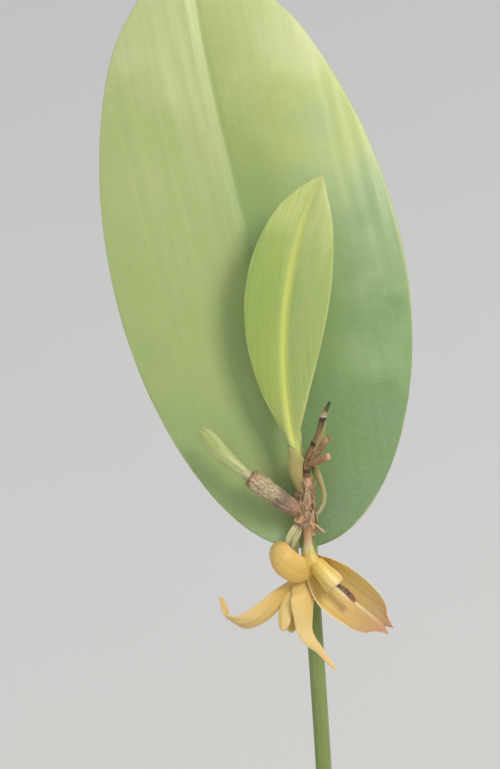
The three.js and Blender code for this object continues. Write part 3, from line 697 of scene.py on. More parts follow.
def pale_sheath(name):
    """Thin bleached sheath, speckled cream over tan and green."""
    tones = ((0.0, "#a89a74"), (0.5, "#b3ab7e"), (1.0, "#b0b874"))
    return paper_skin(name, tones, blot="#d9d0ac", vein="#9a9a68", blotch=0.8, blot_size=0.3, cover=0.5,
                      fray="#b8be7c", gloss=0.6)


def plantlet_sheath(name):
    """Thin sheath round the plantlet's stem: tan below and yellow green above."""
    tones = ((0.0, "#9a7e56"), (0.35, "#b3a066"), (0.7, "#b8ab6c"), (1.0, "#bdb674"))
    return paper_skin(name, tones, blot="#a0ab72", vein="#9c9058", blot_size=1.2, fray="#c2ba80", gloss=0.6)


def crown_fibre(name):
    """Rotted bracts at the leaf's foot: felted brown fibres, with dark hollows between them."""
    tones = ((0.0, "#cba582"), (0.3, "#d8b28c"), (0.7, "#d2ae88"), (1.0, "#d4b28c"))
    return paper_skin(name, tones, blot="#a08366", vein="#b08d6c", blot_size=0.4, fray="#e0c6a4", gloss=0.85)


def strip_skin(name):
    """Dry strip of bract: yellow green, brown at its far end and bleached at its foot."""
    tones = ((0.0, "#efe6d0"), (0.08, "#ddd2ae"), (0.2, "#bfb478"), (0.8, "#aba563"), (1.0, "#8f8450"))
    return paper_skin(name, tones, blot="#b0a668", vein="#a89e64", blotch=0.4, blot_size=0.5, fray="#c6bf88",
                      gloss=0.6)


def pale_bract(name):
    """Pale dry bract, yellow green with a whitish end."""
    tones = ((0.0, "#96755a"), (0.2, "#ccb488"), (0.4, "#e8e2a4"), (0.8, "#ece8aa"), (1.0, "#f6f2dc"))
    return paper_skin(name, tones, blot="#d6d292", vein="#d8d098", blotch=0.3, blot_size=0.6, fray="#dcd8b6",
                      gloss=0.6)


def open_synsepal(name):
    """Joined lower sepals: waxy yellow, orange towards the tip, with whitish margins that are a painted rim
    sheen.
    """
    tones = ((0.0, "#dcb85c"), (0.35, "#dfc06c"), (0.75, "#cfae70"), (1.0, "#c99a78"))
    return flower_skin(name, tones, shade=bpy.context.scene.orchid_flowers.sepal_colour, midrib="#efe2b0",
                       margin="#f1e6c6", under="#dfc278")


def open_dorsal_sepal(name):
    """Upper sepal: waxy yellow with an orange rim."""
    tones = ((0.0, "#e3c266"), (0.5, "#e0bd6a"), (1.0, "#e3bd76"))
    return flower_skin(name, tones, shade=linear("#d6ac60"), midrib="#dcb662", margin="#e6ae6c",
                       under="#dcba6c", streaked=0.3, margin_width=0.4)


def side_sepal(name):
    """Sepals of the flower seen from its side: yellow tan, with margins a little creamier as a faint painted
    rim sheen, and a pink-tan tail.
    """
    tones = ((0.0, "#e0bc62"), (0.4, "#e8ca80"), (0.62, "#edd090"), (0.75, "#edcc8c"), (1.0, "#e2b488"))
    return flower_skin(name, tones, shade=linear("#dab46e"), midrib="#e6c676", margin="#e6c488",
                       under="#e4c67c", margin_width=0.08)


def waxy_petal(name):
    """Small thick petal: bright clear yellow, glossier than the sepals."""
    tones = ((0.0, "#e6c75c"), (0.5, "#efd477"), (0.9, "#ecd08a"), (1.0, "#cf9c70"))
    # The pale margin is a painted rim sheen.
    return flower_skin(name, tones, shade=linear("#dcb654"), midrib="#e0b850", margin="#f3e4ac",
                       under="#e8c868", gloss=0.3)


def side_petal_skin(name):
    """The same petal, painted paler as a lit copy of it, with a pale margin that is a painted rim sheen."""
    tones = ((0.0, "#eed480"), (0.5, "#f7e29a"), (0.9, "#f4dcaa"), (1.0, "#d6a880"))
    return flower_skin(name, tones, shade=linear("#e6c474"), midrib="#e6c268", margin="#f6ecc4",
                       under="#eed288", gloss=0.3)


def fleshy_lip(name):
    """Lip: dark purple brown and warty, which breaks up its gloss, with a red-brown tip."""
    tones = ((0.0, "#b8975e"), (0.3, "#a08a66"), (0.55, "#98866c"), (0.75, "#826e5c"), (0.88, "#a9735a"),
             (1.0, "#bb7c62"))
    return flower_skin(name, tones, shade=bpy.context.scene.orchid_flowers.lip_colour, midrib="#7d6956",
                       margin="#a08660", under="#8a6c50", gloss=0.45, scatter=0.1, vein_pitch=0.2,
                       streaked=0.7)


def clay(name):
    """Thrown unglazed terracotta: matt, gritty, ringed by the potter's fingers, and bleached by salts."""
    settings = bpy.context.scene.orchid_pot
    skin = Skin(name, {"IOR": 1.5})
    cloud = skin.add("TexNoise", {"Vector": skin.objects, "Scale": per(26), "Detail": 4.0, "Roughness": 0.6})
    colour = skin.tint(settings.clay_colour, linear("#c17a58"), cloud, 0.35, 0.65)
    grit = skin.add("TexNoise", {"Vector": skin.objects, "Scale": per(0.8), "Detail": 3.0, "Roughness": 0.7})
    colour = skin.tint(colour, linear("#8a4d36"), grit, 0.55, 0.75, 0.5)
    height = skin.add("SeparateXYZ", [skin.objects], "Z")
    crust = skin.add("TexNoise", {"Vector": skin.objects, "Scale": per(14), "Detail": 6.0, "Roughness": 0.7})
    low_down = skin.add("MapRange", [height, 0.04, 0.0, 0.42, 0.62], **SMOOTH)
    salted = skin.add("Math", [low_down, crust], operation="SUBTRACT")
    colour = skin.tint(colour, settings.salt_colour, salted, -0.05, 0.14, 0.6)
    # A band repeats every 0.314 / scale metres, and the potter's fingers left rings 3.1 mm apart.
    bands = {"Vector": skin.objects, "Scale": 0.314 / 0.0031, "Distortion": 2.5, "Detail": 2.0,
             "Detail Scale": 0.6}
    rings = skin.add("TexWave", bands, "Fac", wave_type="BANDS", bands_direction="Z")
    colour = skin.tint(colour, linear("#9a573d"), rings, 0.0, 1.0, 0.12)
    gritty = skin.add("Math", [grit, 0.6], operation="MULTIPLY")
    relief = skin.add("Math", [rings, 0.5, gritty], operation="MULTIPLY_ADD")
    polish = skin.add("MapRange", [salted, -0.1, 0.2, 0.82, 0.96], **SMOOTH)
    return skin.finish(colour, polish, relief, 0.25)


def pine_bark(name):
    """Chips of composted pine bark: corky layers of red brown and grey, with dark damp cracks."""
    settings = bpy.context.scene.orchid_pot
    skin = Skin(name, {"IOR": 1.45})
    tones = ((0.0, "#4a3024"), (0.35, "#6e4a35"), (0.7, "#85604a"), (1.0, "#96816c"))
    body = skin.add("ValToRGB", [skin.across], stops=tones)
    # A chip's layers of cork are about 0.5 mm thick, and 5 mm long by 3 mm wide.
    layered = skin.add("VectorMath", [skin.reach, (0.16, 0.3, 2.2)], operation="MULTIPLY")
    cork = skin.add("TexNoise", {"Vector": layered, "Scale": 1.0, "Detail": 5.0, "Roughness": 0.65})
    colour = skin.tint(body, settings.bark_colour, cork, 0.35, 0.65, 0.7)
    damp = skin.add("TexNoise", {"Vector": skin.objects, "Scale": per(5), "Detail": 4.0, "Roughness": 0.6})
    colour = skin.tint(colour, linear("#2c1d15"), damp, 0.52, 0.7, 0.75)
    fine = skin.add("TexNoise", {"Vector": skin.objects, "Scale": per(0.7), "Detail": 4.0, "Roughness": 0.7})
    colour = skin.tint(colour, linear("#a58d76"), fine, 0.5, 0.8, 0.35)
    relief = skin.add("Math", [cork, 1.5, fine], operation="MULTIPLY_ADD")
    polish = skin.add("MapRange", [damp, 0.4, 0.7, 0.95, 0.7], **SMOOTH)
    return skin.finish(colour, polish, relief, 0.5)


def matt_paint(name):
    """Matt paint on the floor: even and pale, with a roller's faint unevenness."""
    skin = Skin(name, {"IOR": 1.45})
    drift = skin.add("TexNoise", {"Vector": skin.objects, "Scale": per(60), "Detail": 3.0})
    floor_colour = bpy.context.scene.orchid_stage.floor_colour
    colour = skin.tint(floor_colour, linear("#c9c9c6"), drift, 0.3, 0.7, 0.06)
    polish = skin.add("MapRange", [drift, 0.3, 0.7, 0.85, 0.95], **SMOOTH)
    return skin.finish(colour, polish, drift, 0.02)


# Shapes of the plant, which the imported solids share

RHIZOME = through((-19, -1, RHIZOME_HEIGHT - 1), (-12, 1.5, RHIZOME_HEIGHT), (-3, -2.5, RHIZOME_HEIGHT),
                  (6, -6, RHIZOME_HEIGHT), (14, -3, RHIZOME_HEIGHT), (20, -4.5, RHIZOME_HEIGHT - 1))
# The share of the rhizome that each root leaves, the middle of its arch from there, and its end
ROOTS = [(0.12, (-5, 9, 3.5), (-23, 15, SOIL_TOP - 9)), (0.3, (-3, -11, 3), (-14, -19, SOIL_TOP - 10)),
         (0.5, (2, 11, 3.5), (4, 16, SOIL_TOP - 8)), (0.72, (5, -10, 3), (18, -20, SOIL_TOP - 9)),
         (0.93, (6, 7, 2.5), (25, 11, SOIL_TOP - 8))]
# Where a growth stands on the rhizome, the way it leans in degrees, how far its stem reaches out and up,
# its leaf's length and half width, and how far the leaf droops in degrees
Growth = namedtuple("Growth", "foot heading out up length half_width droop")
GROWTHS = {"left": Growth(0.14, 172, 34, 74, 62, 14.4, 4),
           "right": Growth(0.86, 18, 31, 62, 55, 12.8, 6),
           "front_left": Growth(0.33, 222, 27, 47, 47, 11.2, 12),
           "front_right": Growth(0.7, 304, 21, 31, 37, 9, 10)}
FLOWERING_STEM = bezier(RHIZOME.at(0.55), (6.5, -7, 100), (2.4, 7, 136),
                        LEAF_FRAME @ Vector((0.9, 0.9, 0.9)))


def growth_stem(growth):
    """A growth's stem, which leaves the rhizome upright and then leans out."""
    start, heading = RHIZOME.at(growth.foot), math.radians(growth.heading)
    outwards = Vector((math.cos(heading), math.sin(heading), 0))
    bend = start + outwards * (0.2 * growth.out) + Vector((0, 0, 0.6 * growth.up))
    return bezier(start, bend, start + outwards * growth.out + Vector((0, 0, growth.up)))


def growth_leaf_frame(growth):
    """Axes at the tip of a growth's stem, for its leaf."""
    tip, _, _, onwards = growth_stem(growth).axes(1, ASLANT)
    side = onwards.cross(Vector(UPRIGHT)).normalized()
    onwards = Matrix.Rotation(math.radians(-growth.droop), 3, side) @ onwards
    basis = Matrix((side, onwards, side.cross(onwards))).transposed()
    return Matrix.Translation(tip) @ basis.to_4x4()


def stem_radius(t):
    """The stems' radius, which is their setting's half way up."""
    return bpy.context.scene.orchid_leaves.stem_radius / MM * (1.15 - 0.35 * t + 0.25 * t**3)


def midrib_relief(half_width, length, groove, keel, wave, seed):
    """A sunken midrib above and its keel below, margins that wave a little, and faint swellings."""

    def relief(a, t, face):
        far = abs(a) * half_width(t)
        above = smoothstep(-0.3, 0.3, face)
        ends = smoothstep(0, 0.08, t) * (1 - smoothstep(0.93, 1, t))
        lift = -groove * hump(far, 0, 0.45) * above * ends
        lift -= keel * hump(far, 0, 0.8) * (1 - above) * ends
        along, across = t * length, a * half_width(t)
        lift += wave * a**4 * rough(9, 5 * math.copysign(1, a), along, seed) * ends
        lift += 0.05 * rough(1.0, across, along / 22, seed) * ends
        return lift + 0.4 * wave * rough(8, across, along, seed + 9) * ends

    return relief


# Pieces

def size_setting(name, description, metres):
    return FloatProperty(name=name, description=description, default=metres, unit="LENGTH")


def colour_setting(name, description, hex_colour):
    return FloatVectorProperty(name=name, description=description, default=linear(hex_colour), size=4,
                               subtype="COLOR")


class PotSettings(bpy.types.PropertyGroup):
    """Sizes and colours of the pot and its bark."""

    height: size_setting("Height", "Height of the pot", POT_TOP[2])
    rim_radius: size_setting("Rim radius", "Radius of the pot's rim outside", POT_TOP[0])
    chips: IntProperty(name="Bark chips", description="Number of loose chips", default=190, min=0)
    clay_colour: colour_setting("Clay", "Colour of the fired clay", "#b0664a")
    salt_colour: colour_setting("Salts", "Colour of the salts on the clay", "#dccdbd")
    bark_colour: colour_setting("Bark", "Colour of the dark layers in the bark", "#4d3123")


class LeafSettings(bpy.types.PropertyGroup):
    """Sizes and colours of the leaves and their stems."""

    half_width: size_setting("Leaf half width", "Half width of the large leaf", 0.0173)
    thickness: size_setting("Leaf thickness", "Thickness of the large leaf at its foot", 0.0012)
    stem_radius: size_setting("Stem radius", "Radius of the stems half way up", 0.00095)
    streak_colour: colour_setting("Leaf streaks", "Colour along the large leaf's veins", "#8fa968")
    growth_colour: colour_setting("Green streaks", "Colour along the other leaves' veins", "#6d8c48")
    stem_colour: colour_setting("Stem furrows", "Colour of the furrows in the stems", "#6b7c44")


class FlowerSettings(bpy.types.PropertyGroup):
    """Sizes and colours of the flowers and of the crown that they stand on."""

    sepal_thickness: size_setting("Sepal thickness", "Thickness of the fleshy sepals", 0.0005)
    fibres: IntProperty(name="Crown fibres", description="Number of loose fibres", default=90, min=0)
    sepal_colour: colour_setting("Sepal streaks", "Colour of the open flower's streaks", "#c9a058")
    lip_colour: colour_setting("Lip warts", "Colour of the dark streaks on the lips", "#66534a")


class StageSettings(bpy.types.PropertyGroup):
    """Floor and light."""

    floor_size: size_setting("Floor", "Side of the square floor", 8.0)
    floor_colour: colour_setting("Floor colour", "Colour of the floor", "#dcdcda")
    key_power: FloatProperty(name="Key light", description="Power of the soft main light in watts",
                             default=4.2)
    sky: FloatProperty(name="Surroundings", description="Strength of the light from all around",
                       default=0.62)


def pot_outline():
    """The pot's section from the middle of its foot, over the rim, to the middle of its floor."""
    settings = bpy.context.scene.orchid_pot
    top, rim = settings.height / MM, settings.rim_radius / MM
    wall, floor = 4, 5
    foot, band = rim - 14, top - 16
    return [(0, 0), (foot - 1.5, 0), (foot, 1.5), (rim - 4, band), (rim - 1.6, band), (rim - 0.8, band + 1),
            (rim, top - 1.5), (rim - 1.2, top), (rim - wall + 0.8, top), (rim - wall, top - 1),
            (foot - wall + 0.63, floor + 3), (foot - wall - 3, floor), (0, floor)]


class ORCHID_OT_pot(bpy.types.Operator):
    """Thrown clay pot with a rim band and three drain holes"""

    bl_idname = "orchid.pot"
    bl_label = "Clay Pot"

    def execute(self, context):
        bm = new_bmesh()
        corners = outline_edges(bm, pot_outline())
        bmesh.ops.bevel(bm, geom=corners[1:-1], affect="VERTICES", offset=0.5, segments=3, profile=0.5,
                        material=-1)
        tall = [edge for edge in bm.edges if edge.calc_length() > 30]
        bmesh.ops.subdivide_edges(bm, edges=tall, cuts=40)
        lathe(bm, 144)
        # The walls wave a little and keep the rings of the potter's fingers. Foot, floor and rim stay even.
        for vert in bm.verts:
            radius = vert.co.xy.length
            if radius > 24 and 2 < vert.co.z < 70:
                rings = math.sin(vert.co.z / 0.5 + 2 * rough(20, *vert.co))
                vert.co.xy *= 1 + (0.1 * rings + 0.12 * rough(15, *vert.co)) / radius
        holes, hole_ring, hole_radius = 3, 14, 4
        cutter = bmesh.new()
        for i in range(holes):
            turn = Matrix.Rotation(i * 2 * math.pi / holes, 4, "Z")
            bmesh.ops.create_cone(cutter, cap_ends=True, segments=40, radius1=hole_radius,
                                  radius2=hole_radius, depth=30,
                                  matrix=turn @ Matrix.Translation((hole_ring, 0, 0)))
        add_piece("pot", carved(bm, cutter), clay, "terracotta")
        return {"FINISHED"}


def carved(bm, cutter):
    """The mesh less the cutter's."""
    objects = []
    for name, shape in (("carved", bm), ("cutter", cutter)):
        mesh = bpy.data.meshes.new(name)
        shape.to_mesh(mesh)
        shape.free()
        objects.append(bpy.data.objects.new(name, mesh))
        bpy.context.scene.collection.objects.link(objects[-1])
    modifier = objects[0].modifiers.new("cut", "BOOLEAN")
    modifier.operation, modifier.solver, modifier.object = "DIFFERENCE", "EXACT", objects[1]
    evaluated = objects[0].evaluated_get(bpy.context.evaluated_depsgraph_get())
    result = bmesh.new()
    result.from_mesh(evaluated.to_mesh())
    for made in objects:
        mesh = made.data
        bpy.data.objects.remove(made)
        bpy.data.meshes.remove(mesh)
    return result


class ORCHID_OT_bark(bpy.types.Operator):
    """Packed bark with loose chips on top"""

    bl_idname = "orchid.bark"
    bl_label = "Bark"

    def execute(self, context):
        bm = new_bmesh()
        place, reach = layers(bm)
        # The bark fills the pot, and its top has close rings, which are then raised and sunk.
        outline = [(0, 5.4), (19.5, 5.4), (23.3, 8.4), (34.2, SOIL_TOP - 1), (32.6, SOIL_TOP)]
        outline += [(r, SOIL_TOP) for r in range(30, -1, -2)]
        outline_edges(bm, outline)
        lathe(bm, 96)
        for vert in bm.verts:
            if vert.co.z > SOIL_TOP - 1.5:
                vert.co.z += 0.9 * rough(4, *vert.co) + 0.4 * rough(1.6, *vert.co) - 0.4
            vert[place], vert[reach] = (0.2, 0, 1), vert.co
        rng = random.Random(7)
        for i in range(context.scene.orchid_pot.chips):
            self.add_chip(bm, rng, i)
        piece = add_piece("bark", bm, pine_bark, "bark")
        for face in piece.data.polygons:
            face.use_smooth = False
        return {"FINISHED"}

    def add_chip(self, bm, rng, i):
        """A broken flake of bark, which lies flat or leans on its neighbours, clear of the pot's wall."""
        place, reach = layers(bm)
        size = Vector((rng.uniform(5, 12), rng.uniform(3.5, 7), rng.uniform(1.2, 3)))
        ring = min(31 * math.sqrt(rng.random()), 34.3 - 0.5 * size.x)
        turn = i * GOLDEN_TURN + rng.uniform(-0.3, 0.3)
        height = SOIL_TOP + rng.uniform(-0.3, 2.2)
        spin = Matrix.Rotation(rng.uniform(0, 2 * math.pi), 4, "Z")
        tilt = Matrix.Rotation(rng.uniform(-0.4, 0.4), 4, "X")
        tilt = tilt @ Matrix.Rotation(rng.uniform(-0.3, 0.3), 4, "Y")
        matrix = Matrix.Translation((ring * math.cos(turn), ring * math.sin(turn), height)) @ spin @ tilt
        cube = bmesh.ops.create_cube(bm, size=1)["verts"]
        bmesh.ops.scale(bm, vec=size, verts=cube)
        edges = list({edge for vert in cube for edge in vert.link_edges})
        made = bmesh.ops.bevel(bm, geom=edges, affect="EDGES", offset=rng.uniform(0.3, 0.5), segments=1,
                               profile=0.5, material=-1)["verts"]
        tone = rng.random()
        for vert in made:
            taper = 1 - 0.25 * (vert.co.x / size.x)
            vert.co.y *= taper
            vert.co += Vector(rng.uniform(-0.35, 0.35) for _ in range(3))
            vert[place], vert[reach] = (tone, 0, 1), vert.co + Vector((20 * tone, i, 0))
        bmesh.ops.transform(bm, matrix=matrix, verts=made)


class ORCHID_OT_rhizome(bpy.types.Operator):
    """Creeping rhizome and the roots that arch off it"""

    bl_idname = "orchid.rhizome"
    bl_label = "Rhizome and Roots"

    rings = 52 / (2 * math.pi)  # swellings along the rhizome, each with a scar

    def execute(self, context):
        bm = new_bmesh()
        ring_phase = 2 * math.pi * self.rings

        def radius(t):
            swelling = 1 + 0.1 * math.sin(ring_phase * t)
            return 2.1 * swelling * (0.55 + 0.45 * math.sin(math.pi * t) ** 0.4)

        def scars(turn, t):
            collar = max(0.0, math.sin(ring_phase * t)) ** 10
            torn = 1 + 0.6 * rough_round(0.5, 3, turn, 9 * t)
            return 0.16 * collar * torn + 0.12 * rough_round(1.1, 2.1, turn, 42 * t)

        stalk(bm, RHIZOME, radius, relief=scars, columns=40, rows=260)
        rng = random.Random(3)
        for ring in range(int(self.rings)):
            self.add_rag(bm, rng, (ring + 0.75) / self.rings)
        add_piece("rhizome", bm, creeping_rhizome, "rhizome")
        for i, (share, arch, end) in enumerate(ROOTS, 1):
            start = RHIZOME.at(share)
            form_piece(f"root_{i}", stalk, orchid_root, "root", ROW_FRAME,
                       bezier(start, start + Vector(arch), end), lambda t: 0.97 * (1 - 0.25 * t),
                       relief=lambda turn, t: 0.1 * rough_round(1.4, 1, turn, 26 * t + 9 * i),
                       columns=28, rows=110)
        return {"FINISHED"}

    def add_rag(self, bm, rng, share):
        """A torn remnant of an old scale, which stands off the rhizome."""
        point, sideways, upwards, onwards = RHIZOME.axes(share, UPRIGHT)
        for _ in range(3):
            turn = rng.uniform(-0.4, math.pi + 0.4)
            out = spoke(turn, sideways, upwards)
            path = through(point + out * 1.6 - onwards * 0.8, point + out * 2.15,
                           point + out * 2.4 + onwards, point + out * 2.6 + onwards * rng.uniform(1.5, 2.4))
            blade(bm, path, out.cross(onwards), widths(0.7, 0.8, 0.5, 0.1), 0.12, columns=12, rows=12)


class ORCHID_OT_stems(bpy.types.Operator):
    """Slender stems with their dry sheaths"""

    bl_idname = "orchid.stems"
    bl_label = "Stems and Sheaths"

    def execute(self, context):
        for name, growth in GROWTHS.items():
            self.add_stem(name, growth_stem(growth), {f"sheath_{name}": (0.03, 0.3)})
        self.add_stem("flowering", FLOWERING_STEM, {"sheath_flowering_lower": (0.03, 0.2),
                                                    "sheath_flowering_upper": (0.4, 0.56)})
        return {"FINISHED"}

    def add_stem(self, name, path, sheaths):
        """A stem with a joint at the mouth of each of its sheaths, which are given by their two ends."""

        def joints(turn, t):
            ring = sum(hump((t - top) * path.length, 0, 0.8) for _, top in sheaths.values())
            return 0.12 * ring + 0.03 * math.cos(9 * turn) + 0.02 * rough_round(1.0, 1, turn, 9 * t)

        form_piece(f"ramicaul_{name}", stalk, green_stem, "stem", ROW_FRAME, path, stem_radius,
                   relief=joints, columns=36, rows=160)
        for sheath_name, (start, end) in sheaths.items():
            form_piece(sheath_name, sheath, stem_sheath, "dry_sheath", ROW_FRAME, path, start, end,
                       stem_radius(start) + 0.55, wall=0.3, slant=1.5, flare=0.35, relief=0.1, ragged=0.9)


class ORCHID_OT_leaves(bpy.types.Operator):
    """Leathery leaves: the large one that carries the flowers, and those of the shorter growths"""

    bl_idname = "orchid.leaves"
    bl_label = "Leaves"

    def execute(self, context):
        settings = context.scene.orchid_leaves
        thickness = settings.thickness / MM
        half_width = elliptic(settings.half_width / MM, widest=0.469, fullness=0.517, sharpness=0.13)
        path = bezier((0.7, -2.1, 0), (-1.2, 23.8, 1.2), (-10, 45.6, 1), (-13.4, 69.7, -3))
        form_piece("leaf_flowering", blade, leathery_leaf, "leaf", LEAF_FRAME, path, (1, 0, 0), half_width,
                   lambda t: thickness * lerp(1, 0.75, t), folded(0.11, half_width),
                   midrib_relief(half_width, path.length, groove=0.05, keel=0.45, wave=0.25, seed=1),
                   columns=200, rows=170)
        for i, (name, growth) in enumerate(GROWTHS.items()):
            self.add_growth_leaf(name, growth, 20 + 7 * i)
        return {"FINISHED"}

    def add_growth_leaf(self, name, growth, seed):
        outline = {"widest": 0.469, "fullness": 0.66, "sharpness": 0.13}
        half_width = elliptic(growth.half_width, **outline, stalk=1.2)
        length = growth.length
        path = bezier((0, 0, 0), (0, 0.33 * length, 0), (0, 0.7 * length, -0.03 * length),
                      (0, 0.97 * length, -0.17 * length))
        form_piece(f"leaf_{name}", blade, growth_leaf, "leaf", growth_leaf_frame(growth),
                   stretch(path, -0.02, 1), (1, 0, 0), half_width,
                   lambda t: lerp(1.9, 0.9, smoothstep(0, 0.3, t)),
                   folded(0.14, elliptic(growth.half_width, **outline)),
                   midrib_relief(half_width, length, groove=0.4, keel=0.5, wave=0.35, seed=seed),
                   columns=112, rows=110)


class ORCHID_OT_plantlet(bpy.types.Operator):
    """Plantlet at the leaf's foot: a short sheathed stem with one upright leaf"""

    bl_idname = "orchid.plantlet"
    bl_label = "Plantlet"

    def execute(self, context):
        stem = through((0.2, 4.3, 3.9), (-0.3, 5.7, 4.3), (-0.6, 7.5, 4.7), (-0.5, 9.25, 5.1),
                       (-0.55, 10.7, 5.3))
        form_piece("plantlet_ramicaul", stalk, plantlet_stem, "young_leaf", LEAF_FRAME, stem,
                   widths(0.22, 0.34, 0.54, 0.72, 0.62), columns=32, rows=60,
                   relief=lambda turn, t: 0.02 * math.cos(8 * turn))
        outline = {"half_width": 5, "widest": 0.557, "fullness": 0.685, "sharpness": 0.21}
        full_width = elliptic(**outline, stalk=0.95)
        path = bezier((-0.7, 10.7, 5.34), (-3, 20.3, 6), (-2.1, 32.5, 8), (2.6, 41.9, 8.8))

        def blade_width(t):
            return full_width(max(1.03 * t - 0.03, 0.0)) * lerp(0.45, 1, smoothstep(0, 0.055, t))

        form_piece("plantlet_leaf", blade, young_leaf_skin, "young_leaf", LEAF_FRAME,
                   stretch(path, -0.045, 1), (1, 0, 0.14), blade_width,
                   lambda t: lerp(1.5, 0.6, smoothstep(0, 0.25, t)),
                   folded(0.24, elliptic(**outline)),
                   midrib_relief(blade_width, path.length, groove=0.22, keel=0.3, wave=0.12, seed=5),
                   teeth=0.45, columns=120, rows=150)
        form_piece("plantlet_sheath", sheath, plantlet_sheath, "dry_sheath", LEAF_FRAME, stem, 0.02, 0.8,
                   widths(0.36, 0.55, 0.8, 0.88, 0.98), wall=0.1, slant=0.85, relief=0.04,
                   across=(-0.9, 0, 0.4))
        return {"FINISHED"}


class ORCHID_OT_shoot(bpy.types.Operator):
    """New shoot: a folded leaf in a bleached sheath, in a mottled one"""

    bl_idname = "orchid.shoot"
    bl_label = "Shoot"

    def execute(self, context):
        path = through((-0.3, 2.4, 3.7), (-1.1, 2.95, 3.9), (-2.5, 3.95, 4.3), (-4.2, 5.1, 4.8),
                       (-5.7, 6.25, 5.2), (-7.1, 7.35, 5.6), (-9.1, 9, 6.1), (-11, 11.3, 6.7),
                       (-11.85, 12.2, 7))
        form_piece("shoot_leaf", blade, shoot_skin, "young_leaf", LEAF_FRAME, stretch(path, 0.12, 1),
                   (0.6, 0.8, 0), round_tipped(widths(0.5, 0.5, 0.52, 0.68, 0.96, 0.98, 0.72), 0.14, 0.6),
                   lambda t: lerp(1.2, 0.7, smoothstep(0.56, 0.8, t)),
                   lambda a, t: -0.42 * a * a * smoothstep(0.35, 0.6, t),
                   lambda a, t, face: -0.16 * hump(a, 0.2, 0.1) * smoothstep(0.5, 0.8, t),
                   teeth=0.5, columns=64, rows=100)
        form_piece("shoot_pale_sheath", sheath, pale_sheath, "dry_sheath", LEAF_FRAME, path, 0.39, 0.6,
                   widths(0.68, 0.68, 0.74, 0.8), wall=0.04, slant=0.3, flare=-0.3, relief=0.04)
        form_piece("shoot_mottled_sheath", sheath, mottled_sheath, "dry_sheath", LEAF_FRAME, path, 0.0, 0.45,
                   widths(0.84, 1.02, 1.1, 1.16, 1.0), wall=0.12, slant=0.35, relief=0.17, ragged=0.45)
        return {"FINISHED"}


